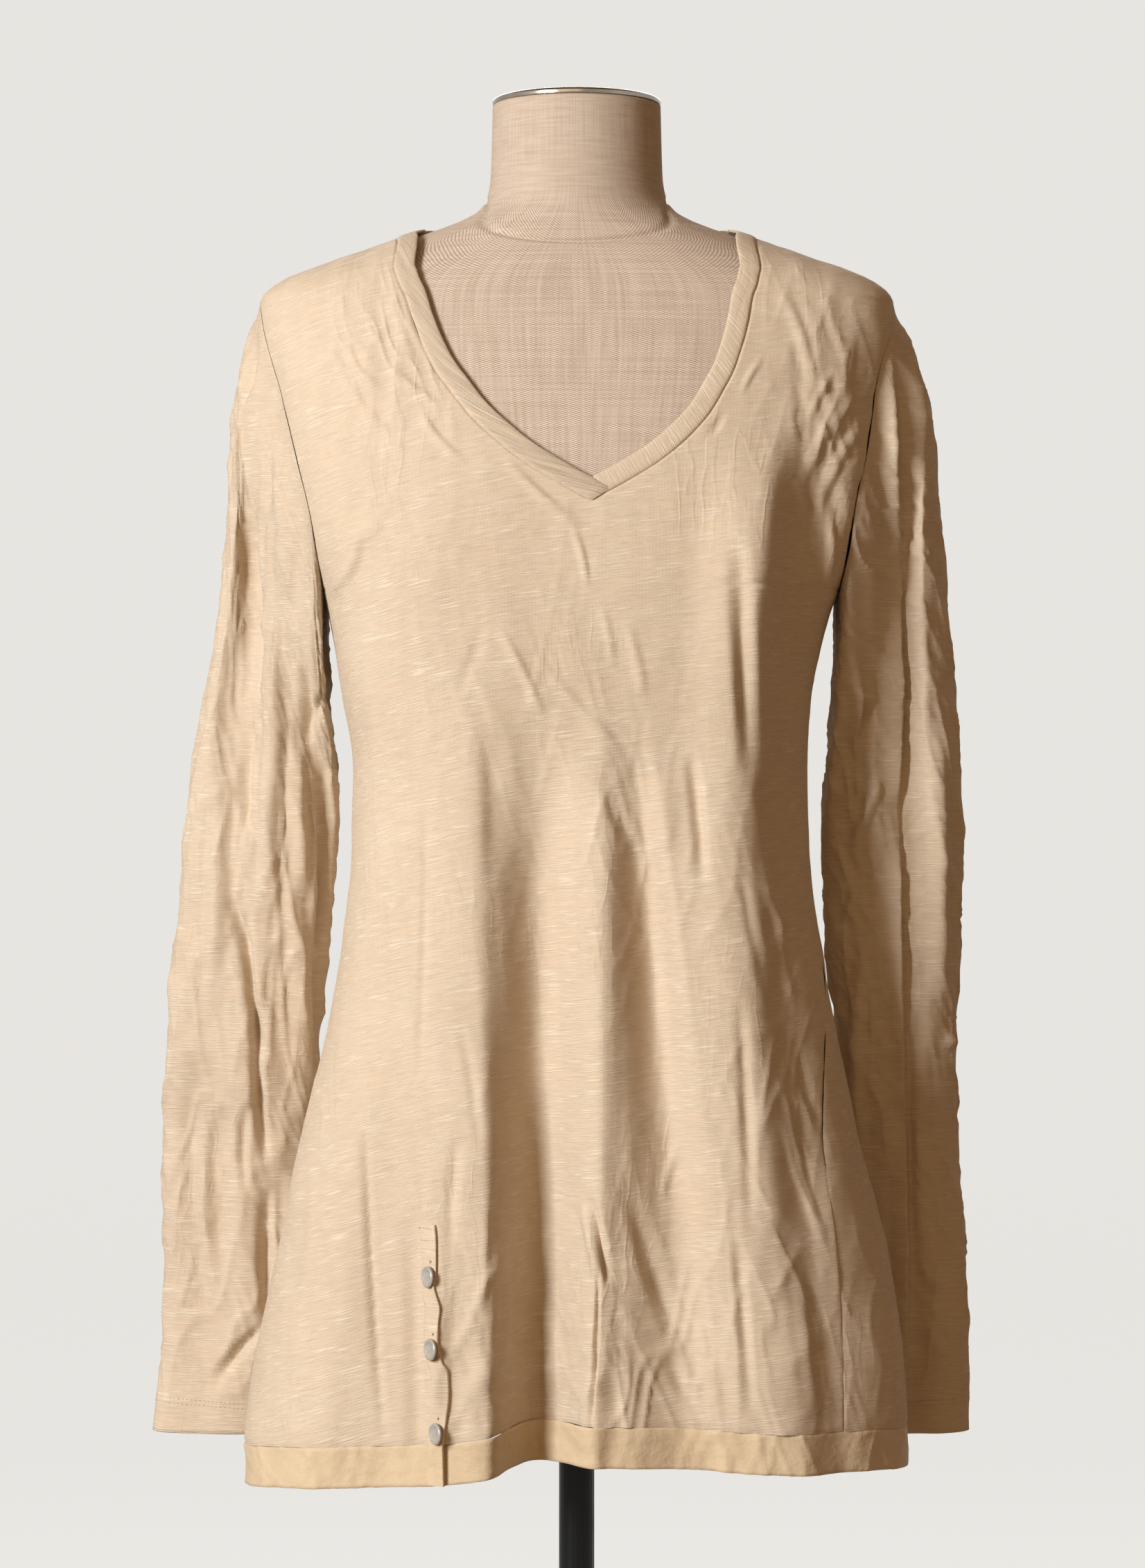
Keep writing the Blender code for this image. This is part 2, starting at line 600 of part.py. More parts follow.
def placket_right_edge(z):
    """Place across the body of the placket's open edge, on the crest of the fold it lies on."""
    return mix(-0.0735, -0.0695, smoothstep(PLACKET_TOP_Z, HEM_MEAN_Z, z))


def on_row(row, x):
    """Point of a row of the front's right half at a place across the body."""
    for start, end in zip(row, row[1:]):
        if x <= end.x:
            return start.lerp(end, (x - start.x) / (end.x - start.x))
    return row[-1]


def on_front(x, z):
    """Point on the faces of the front's right half and its hem band."""
    rows = front_sheets(BODY_LEVELS + BAND_LEVELS[1:])[0]
    line = [on_row(row, x) for row in rows]
    for upper, lower in zip(line, line[1:]):
        if z >= lower.z:
            return upper.lerp(lower, (upper.z - z) / (upper.z - lower.z))
    return line[-1]


def over_front(x, z, height):
    """Point over the front's faces, so far out from the cloth's middle surface."""
    return on_front(x, z) + shirt_normal(angle_at(x, z), z) * height


def make_placket():
    """The buttonhole strip, laid on the front beside the vent."""
    bottom = HEM_Z(angle_at(placket_right_edge(HEM_MEAN_Z), HEM_MEAN_Z)) + SEAM_GAP
    rows = []
    for i in range(PLACKET_ROWS + 1):
        z = mix(PLACKET_TOP_Z, bottom, i / PLACKET_ROWS)
        xs = [placket_right_edge(z) - PLACKET_WIDTH * (1.0 - j / PLACKET_COLUMNS)
              for j in range(PLACKET_COLUMNS + 1)]
        rows.append([over_front(x, z, PLACKET_RISE) for x in xs])
    return cloth_object("placket", [rows], "jersey")


def make_button(name, z):
    """A flat round button with a raised rim's bevel, sewn to the placket."""
    x = placket_right_edge(z) - PLACKET_WIDTH * 0.5
    out = shirt_normal(angle_at(x, z), z)
    mesh = bmesh.new()
    bmesh.ops.create_cone(mesh, cap_ends=True, segments=24, radius1=BUTTON_RADIUS,
                          radius2=BUTTON_RADIUS, depth=BUTTON_THICK)
    piece = new_object(name, mesh, "pearl")
    seat = PLACKET_RISE + CLOTH / 2.0 + SOLID_GAP + BUTTON_THICK / 2.0
    piece.location = over_front(x, z, seat)
    piece.rotation_mode = "QUATERNION"
    piece.rotation_quaternion = out.to_track_quat("Z", "Y")
    rim = piece.modifiers.new("rim", "BEVEL")
    rim.width = 0.0006
    rim.segments = 1
    rim.limit_method = "ANGLE"
    return piece


# ---- form and stand ----

def make_form_body():
    """Torso and neck, lofted through the form's sections and closed at both ends."""
    mesh = bmesh.new()
    rows = []
    for section in FORM_SECTIONS:
        row = []
        for i in range(FORM_SIDES):
            turn = 2.0 * math.pi * i / FORM_SIDES
            depth = rounded_depth(math.sin(turn), section.power)
            reach = -section.front if math.cos(turn) >= 0.0 else section.back
            row.append(Vector((section.half * math.sin(turn), reach * depth, section.z)))
        rows.append(row)
    made = grid_faces(mesh, rows, closed=True)
    mesh.faces.new(made[0])
    mesh.faces.new(made[-1][::-1])
    return new_object("form_body", mesh, "linen")


def make_stand():
    """Cap ring on the neck, socket under the torso, pole, hub and base plate."""
    neck_top = FORM_SECTIONS[0].z + SOLID_GAP
    turned_object("form_neck_ring", [
        (0.0, neck_top + RING_HEIGHT),
        (RING_RADIUS - 0.0010, neck_top + RING_HEIGHT),
        (RING_RADIUS, neck_top + RING_HEIGHT - 0.0010),
        (RING_RADIUS, neck_top),
        (0.0, neck_top),
    ], "dark_steel")
    socket_top = FORM_SECTIONS[-1].z - SOLID_GAP
    socket_bottom = socket_top - SOCKET_HEIGHT
    turned_object("form_socket", [
        (0.0, socket_top),
        (SOCKET_RADIUS, socket_top),
        (SOCKET_RADIUS, socket_bottom + 0.0040),
        (SOCKET_RADIUS - 0.0040, socket_bottom),
        (0.0, socket_bottom),
    ], "black_paint", 32)
    hub_bottom = BASE_THICK + SOLID_GAP
    hub_top = hub_bottom + HUB_HEIGHT
    turned_object("pole", [
        (0.0, socket_bottom - SOLID_GAP),
        (POLE_RADIUS, socket_bottom - SOLID_GAP),
        (POLE_RADIUS, hub_top + SOLID_GAP),
        (0.0, hub_top + SOLID_GAP),
    ], "black_paint", 24)
    turned_object("pole_hub", [
        (0.0, hub_top),
        (HUB_TOP_RADIUS - 0.0020, hub_top),
        (HUB_TOP_RADIUS, hub_top - 0.0020),
        (HUB_TOP_RADIUS + 0.0020, hub_top - HUB_HEIGHT * 0.6),
        (HUB_RADIUS, hub_bottom + 0.0050),
        (HUB_RADIUS, hub_bottom),
        (0.0, hub_bottom),
    ], "black_paint", 32)
    turned_object("base_plate", [
        (0.0, BASE_THICK),
        (BASE_RADIUS - 0.0030, BASE_THICK),
        (BASE_RADIUS, BASE_THICK - 0.0030),
        (BASE_RADIUS, 0.0010),
        (BASE_RADIUS - 0.0010, 0.0),
        (0.0, 0.0),
    ], "black_paint", 64)


def clear_scene():
    for piece in list(bpy.data.objects):
        bpy.data.objects.remove(piece, do_unlink=True)


clear_scene()
COLLECTION = bpy.data.collections.new("tshirt_on_dress_form")
bpy.context.scene.collection.children.link(COLLECTION)
MATERIALS = {name: make_material(name, *look) for name, look in LOOKS.items()}

cloth_object("front_panel", front_sheets(LEVELS), "jersey")
cloth_object("back_panel", [[back_row(level) for level in LEVELS]], "jersey")
cloth_object("hem_band_front", front_sheets(BAND_LEVELS), "woven")
cloth_object("hem_band_back", [[back_row(level) for level in BAND_LEVELS]], "woven")
for sleeve_name in SLEEVES:
    make_sleeve(sleeve_name)
make_neckband()
make_placket()
for number, height in enumerate(BUTTON_HEIGHTS, 1):
    make_button(f"button_{number}", height)
make_form_body()
make_stand()
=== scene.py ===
"""Look of the long-sleeved V-neck t-shirt on its linen dress form.

Metres, +Z up, the front faces -Y. Sides are the wearer's: right is at -X, left at +X.
The shirt lies on the same surface as its solids, read at an angle round the body and a height:
0 degrees is the middle of the front, 90 the left side, 180 the back, -90 the right side.
"""
import math
from collections import namedtuple

import bmesh
import bpy
import numpy as np
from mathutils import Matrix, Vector


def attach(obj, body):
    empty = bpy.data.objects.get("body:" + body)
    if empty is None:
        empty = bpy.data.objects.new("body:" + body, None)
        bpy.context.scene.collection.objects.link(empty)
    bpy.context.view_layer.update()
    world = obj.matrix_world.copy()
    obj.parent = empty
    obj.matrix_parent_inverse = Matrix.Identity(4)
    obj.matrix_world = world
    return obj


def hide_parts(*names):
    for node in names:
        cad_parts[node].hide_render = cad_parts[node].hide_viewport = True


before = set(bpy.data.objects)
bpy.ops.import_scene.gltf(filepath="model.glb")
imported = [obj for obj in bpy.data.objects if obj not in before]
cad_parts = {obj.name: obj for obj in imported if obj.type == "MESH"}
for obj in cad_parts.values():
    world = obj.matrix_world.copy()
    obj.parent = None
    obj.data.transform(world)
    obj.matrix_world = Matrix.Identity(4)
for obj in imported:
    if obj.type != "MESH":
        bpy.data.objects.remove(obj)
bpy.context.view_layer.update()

# Heights of the shirt
NECK_POINT_Z = 1.4400
SHOULDER_TIP_Z = 1.402
UNDERARM_Z = 1.234
V_Z = 1.2816
CUFF_Z = 0.745
HEM_BAND = 0.0225
HEM_MEAN_Z = 0.742
HEM_SHAPED_BELOW = 0.97
HEM_SEAM = HEM_MEAN_Z + HEM_BAND

# Rows and columns of the cloth meshes
FRONT_ROWS = 270
FRONT_COLUMNS = {-1: 150, 1: 118}
BACK_COLUMNS = 190
BACK_ROWS = 210
SLEEVE_ROWS = 220
SLEEVE_COLUMNS = 176
BAND_ROWS = 12
BAND_COLUMNS = 240
FORM_COLUMNS = 160

# Armhole and sleeve head
ARMHOLE_IN = 19.0
ARMHOLE_FULLNESS = 0.7
SLEEVE_SET = 0.0003
SLEEVE_FREE_AT = 0.034
SLEEVE_FREE_UNDERARM = 0.30

# Seams: the edges of two pieces turn in, side by side, by a share of the depth
TUCK_DEPTH = 0.0007
TUCK_REACH = 0.0009
SIDE_SEAM_SHARE = 0.28
ARMHOLE_SEAM_SHARE = 0.60
HEM_SEAM_SHARE = 0.8
CUFF_TURN_ROWS = (2, 4)   # rows above the edge that a cuff or hem band is turned up to
BAND_TURN_ROWS = (3, 7)
CUFF_STITCHES = (0.7625, 0.7595)
HEM_THICK = 0.0009
BAND_UNDER = 0.0004       # how far the hem band lies behind the jersey's face
BAND_CALM_ENDS = 0.025    # the hem band lies flat so near its side seams

# Neckband
NECK_BAND_WIDTH = 0.0118
NECK_BAND_LAP = 0.0009
LAP_REACH = 0.0060        # how far the lapping end's inner edge runs past the V
LAP_REACH_FROM_Z = 1.2990
BAND_PROUD = 0.0030
RELIEF_ON_FORM = 0.0006   # how deep creases go where the cloth lies on the form, and elsewhere
RELIEF_FREE = 0.0080
LIES_ABOVE_Z = 1.34
HANGS_BELOW_Z = 1.24
UNEVEN_HEIGHT = 0.00022   # height of each of the waves that make the cloth uneven
UNEVEN_WAVES = 7
UNEVEN_ON_FORM = 0.35     # the waves' share on the shoulders; lower down it grows to 1
UNEVEN_FROM_Z = 1.30
UNEVEN_FULL_Z = 1.10
V_SHIFT = 2.8
LAP_Z = 1.325
NECK_FLAT_Z = 1.42        # above this the neckline runs nearly level and has closer rows

# Placket and buttons
PLACKET_TOP_Z = 0.8838
BUTTON_HEIGHTS = (0.8555, 0.8162, 0.7703)
BUTTON_TILT = 1.25        # how far the buttons lean to the side, as a slope
BUTTON_SEAT = 0.0016      # how far a button's underside stands off the front
BUTTON_IN = 0.40          # its middle is this share of the placket's width from the opening edge
PLACKET_SEEN = 0.0098     # width seen from the front
STITCH_PITCH = 0.0026
STITCH_RADIUS = 0.00022
STITCH_SHOWS = 0.64       # the part of a stitch that lies on top
PLACKET_TOP_IN = 0.0010   # how far the placket's top edge is turned in, and over what height
PLACKET_TOP_OVER = 0.0008

# Form and stand
FORM_LIFT = 0.0019
SHOULDER_SQUARE = 0.5     # how much squarer the cloth's front is than the form's on the shoulders
YOKE_FROM_Z = 1.30
YOKE_TO_Z = 1.37
NECK_TOP_Z = 1.5163
FORM_SEAM_Z = 1.4310        # the neck seam in front, and how much higher it lies at the sides
FORM_SEAM_RISE = 0.0300
FORM_SEAM_DEPTH = 0.0018
FORM_SEAM_HALF = 0.0012
# Rows of the form, closer at its neck seam: from a height, to a height, how many
FORM_ROWS = ((NECK_TOP_Z - 0.0003, 1.46, 30), (1.46, 1.42, 110), (1.42, 0.8502, 110))
RING_RADIUS = 0.0486
RING_HEIGHT = 0.0036


def table(name, names, rows):
    """Rows of values with named columns."""
    row = namedtuple(name, names)
    return [row(*values) for values in rows]


# Half widths, depths in front and behind, where the side lies, and how square the outline is
SHIRT_SECTIONS = table("Section", "z right left front back side_y front_power power", [
    (1.3400, 0.1780, 0.1840, 0.0965, 0.1010, 0.000, 2.8, 2.50),
    (1.2940, 0.1625, 0.1680, 0.1060, 0.1035, 0.000, 3.2, 2.40),
    (1.2570, 0.1510, 0.1580, 0.1130, 0.1025, 0.000, 3.5, 2.30),
    (1.2340, 0.1440, 0.1490, 0.1150, 0.1010, 0.000, 3.5, 2.25),
    (1.2140, 0.1400, 0.1425, 0.1150, 0.1000, 0.000, 3.4, 2.20),
    (1.1740, 0.1340, 0.1340, 0.1135, 0.0985, 0.000, 3.3, 2.20),
    (1.1340, 0.1280, 0.1320, 0.1125, 0.0975, 0.000, 3.2, 2.20),
    (1.0900, 0.1285, 0.1325, 0.1120, 0.0975, -0.002, 3.2, 2.20),
    (1.0340, 0.1335, 0.1395, 0.1105, 0.0990, -0.006, 3.1, 2.20),
    (0.9740, 0.1450, 0.1500, 0.1070, 0.1030, -0.012, 3.0, 2.20),
    (0.9280, 0.1560, 0.1600, 0.1040, 0.1060, -0.016, 2.9, 2.20),
    (0.8560, 0.1710, 0.1775, 0.0995, 0.1100, -0.022, 2.8, 2.20),
    (0.7910, 0.1840, 0.1865, 0.0960, 0.1130, -0.027, 2.7, 2.20),
    (0.7520, 0.1885, 0.1880, 0.0940, 0.1150, -0.030, 2.6, 2.20),
    (0.7280, 0.1885, 0.1880, 0.0940, 0.1150, -0.030, 2.6, 2.20),
])

FORM_SECTIONS = table("FormSection", "z half front back power", [
    (1.5160, 0.0484, 0.0484, 0.0484, 2.0),
    (1.4750, 0.0496, 0.0500, 0.0500, 2.0),
    (1.4620, 0.0520, 0.0525, 0.0520, 2.0),
    (1.4545, 0.0575, 0.0545, 0.0535, 2.0),
    (1.4490, 0.0670, 0.0560, 0.0550, 2.0),
    (1.4450, 0.0770, 0.0570, 0.0560, 2.0),
    (1.4400, 0.0910, 0.0585, 0.0580, 2.1),
    (1.4310, 0.1155, 0.0610, 0.0620, 2.2),
    (1.4200, 0.1470, 0.0655, 0.0680, 2.3),
    (1.4110, 0.1690, 0.0690, 0.0730, 2.4),
    (1.4000, 0.1800, 0.0730, 0.0790, 2.5),
    (1.3850, 0.1815, 0.0785, 0.0860, 2.5),
    (1.3600, 0.1780, 0.0865, 0.0930, 2.5),
    (1.3350, 0.1700, 0.0930, 0.0975, 2.5),
    (1.3100, 0.1610, 0.0990, 0.0995, 2.5),
    (1.2800, 0.1490, 0.1050, 0.0990, 2.4),
    (1.2500, 0.1400, 0.1105, 0.0965, 2.3),
    (1.2200, 0.1330, 0.1110, 0.0930, 2.3),
    (1.1800, 0.1250, 0.1060, 0.0870, 2.3),
    (1.1200, 0.1130, 0.0900, 0.0780, 2.3),
    (1.0600, 0.1040, 0.0760, 0.0690, 2.3),
    (0.9800, 0.1100, 0.0720, 0.0600, 2.3),
    (0.9100, 0.1140, 0.0690, 0.0540, 2.3),
    (0.8640, 0.1120, 0.0670, 0.0520, 2.3),
    (0.8540, 0.1070, 0.0620, 0.0470, 2.3),
    (0.8500, 0.0980, 0.0530, 0.0380, 2.3),
])

NECKLINE = table("Neckline", "z angle", [
    (NECK_POINT_Z, 87.0),
    (1.4330, 60.0),
    (1.4242, 45.8),
    (1.4109, 35.8),
    (1.3990, 32.3),
    (1.3838, 30.7),
    (1.3700, 29.4),
    (1.3551, 27.6),
    (1.3430, 25.2),
    (1.3290, 22.0),
    (1.3150, 17.4),
    (1.3032, 12.6),
    (1.2930, 7.0),
    (V_Z, 0.0),
])

SIDE_SEAMS = table("SideSeam", "z left right", [
    (UNDERARM_Z, 90.0, 90.0),
    (1.1000, 88.0, 92.0),
    (1.0180, 80.0, 98.0),
    (0.9780, 68.0, 105.0),
    (0.9200, 58.0, 111.0),
    (0.7800, 52.0, 115.0),
    (0.7280, 51.0, 116.0),
])

HEM = table("Hem", "angle z", [
    (-180.0, 0.742),
    (-90.0, 0.730),
    (-55.0, 0.736),
    (-25.0, 0.741),
    (-7.0, 0.749),
    (0.0, 0.751),
    (30.0, 0.747),
    (60.0, 0.744),
    (90.0, 0.740),
    (180.0, 0.742),
])

# Pipes and hollows of the hanging cloth. Each grows from nothing at z_top to its height at
# z_full, keeps a share of it at the hem, and runs through three places across the body: at z_top,
# halfway to the hem and at the hem. It falls away over its own width on the wearer's right and left
FOLD_COLUMNS = ("panel z_top z_full x_top x_mid x_low "
                "right_top right_low left_top left_low height at_hem")
FOLDS = table("Fold", FOLD_COLUMNS, [
    ("front", 1.20, 1.04, -0.0220, -0.0205, -0.0240, 0.034, 0.026, 0.036, 0.034, -0.020, 1.0),
    ("front", 1.10, 0.78, -0.0215, -0.0215, -0.0240, 0.028, 0.026, 0.036, 0.036, -0.021, 1.0),
    ("front", 1.24, 0.90, -0.0660, -0.0545, -0.0475, 0.050, 0.062, 0.013, 0.014, 0.006, 1.2),
    ("front", 1.22, 0.90, 0.0100, 0.0140, 0.0080, 0.036, 0.034, 0.010, 0.014, 0.004, 1.0),
    ("front", 1.18, 1.03, 0.0290, 0.0470, 0.0620, 0.018, 0.036, 0.010, 0.034, -0.019, 0.45),
    ("front", 1.33, 1.24, 0.1070, 0.0965, 0.1270, 0.040, 0.050, 0.018, 0.024, 0.013, 0.8),
    ("front", 1.335, 1.27, 0.1400, 0.1550, 0.2500, 0.030, 0.040, 0.030, 0.040, -0.022, 1.0),
    ("front", 1.18, 0.76, -0.110, -0.1300, -0.1480, 0.030, 0.034, 0.030, 0.034, 0.006, 1.0),
    ("back", 1.28, 0.78, -0.072, -0.0880, -0.1040, 0.036, 0.044, 0.020, 0.026, 0.011, 1.0),
    ("back", 1.24, 0.76, -0.040, -0.0480, -0.0560, 0.018, 0.026, 0.034, 0.044, -0.015, 1.0),
    ("back", 1.26, 0.80, -0.006, -0.0080, -0.0100, 0.034, 0.040, 0.020, 0.024, 0.008, 1.0),
    ("back", 1.22, 0.76, 0.030, 0.0380, 0.0440, 0.018, 0.028, 0.030, 0.042, -0.017, 1.0),
    ("back", 1.24, 0.78, 0.066, 0.0780, 0.0900, 0.034, 0.040, 0.020, 0.026, 0.009, 1.0),
    ("back", 1.12, 0.76, 0.100, 0.1180, 0.1320, 0.018, 0.024, 0.024, 0.030, -0.009, 1.0),
])
HEM_Z_LOW = 0.742

# Small creases, seen from the front or the back: from one end to the other, how far the middle
# bows out, and the width on either side of the line
CREASE_COLUMNS = "x0 z0 x1 z1 bow before after height"
CREASE_WIDTH = 1.55       # the widths and heights in the tables are as read off a flat view
CREASE_HEIGHT = 1.45

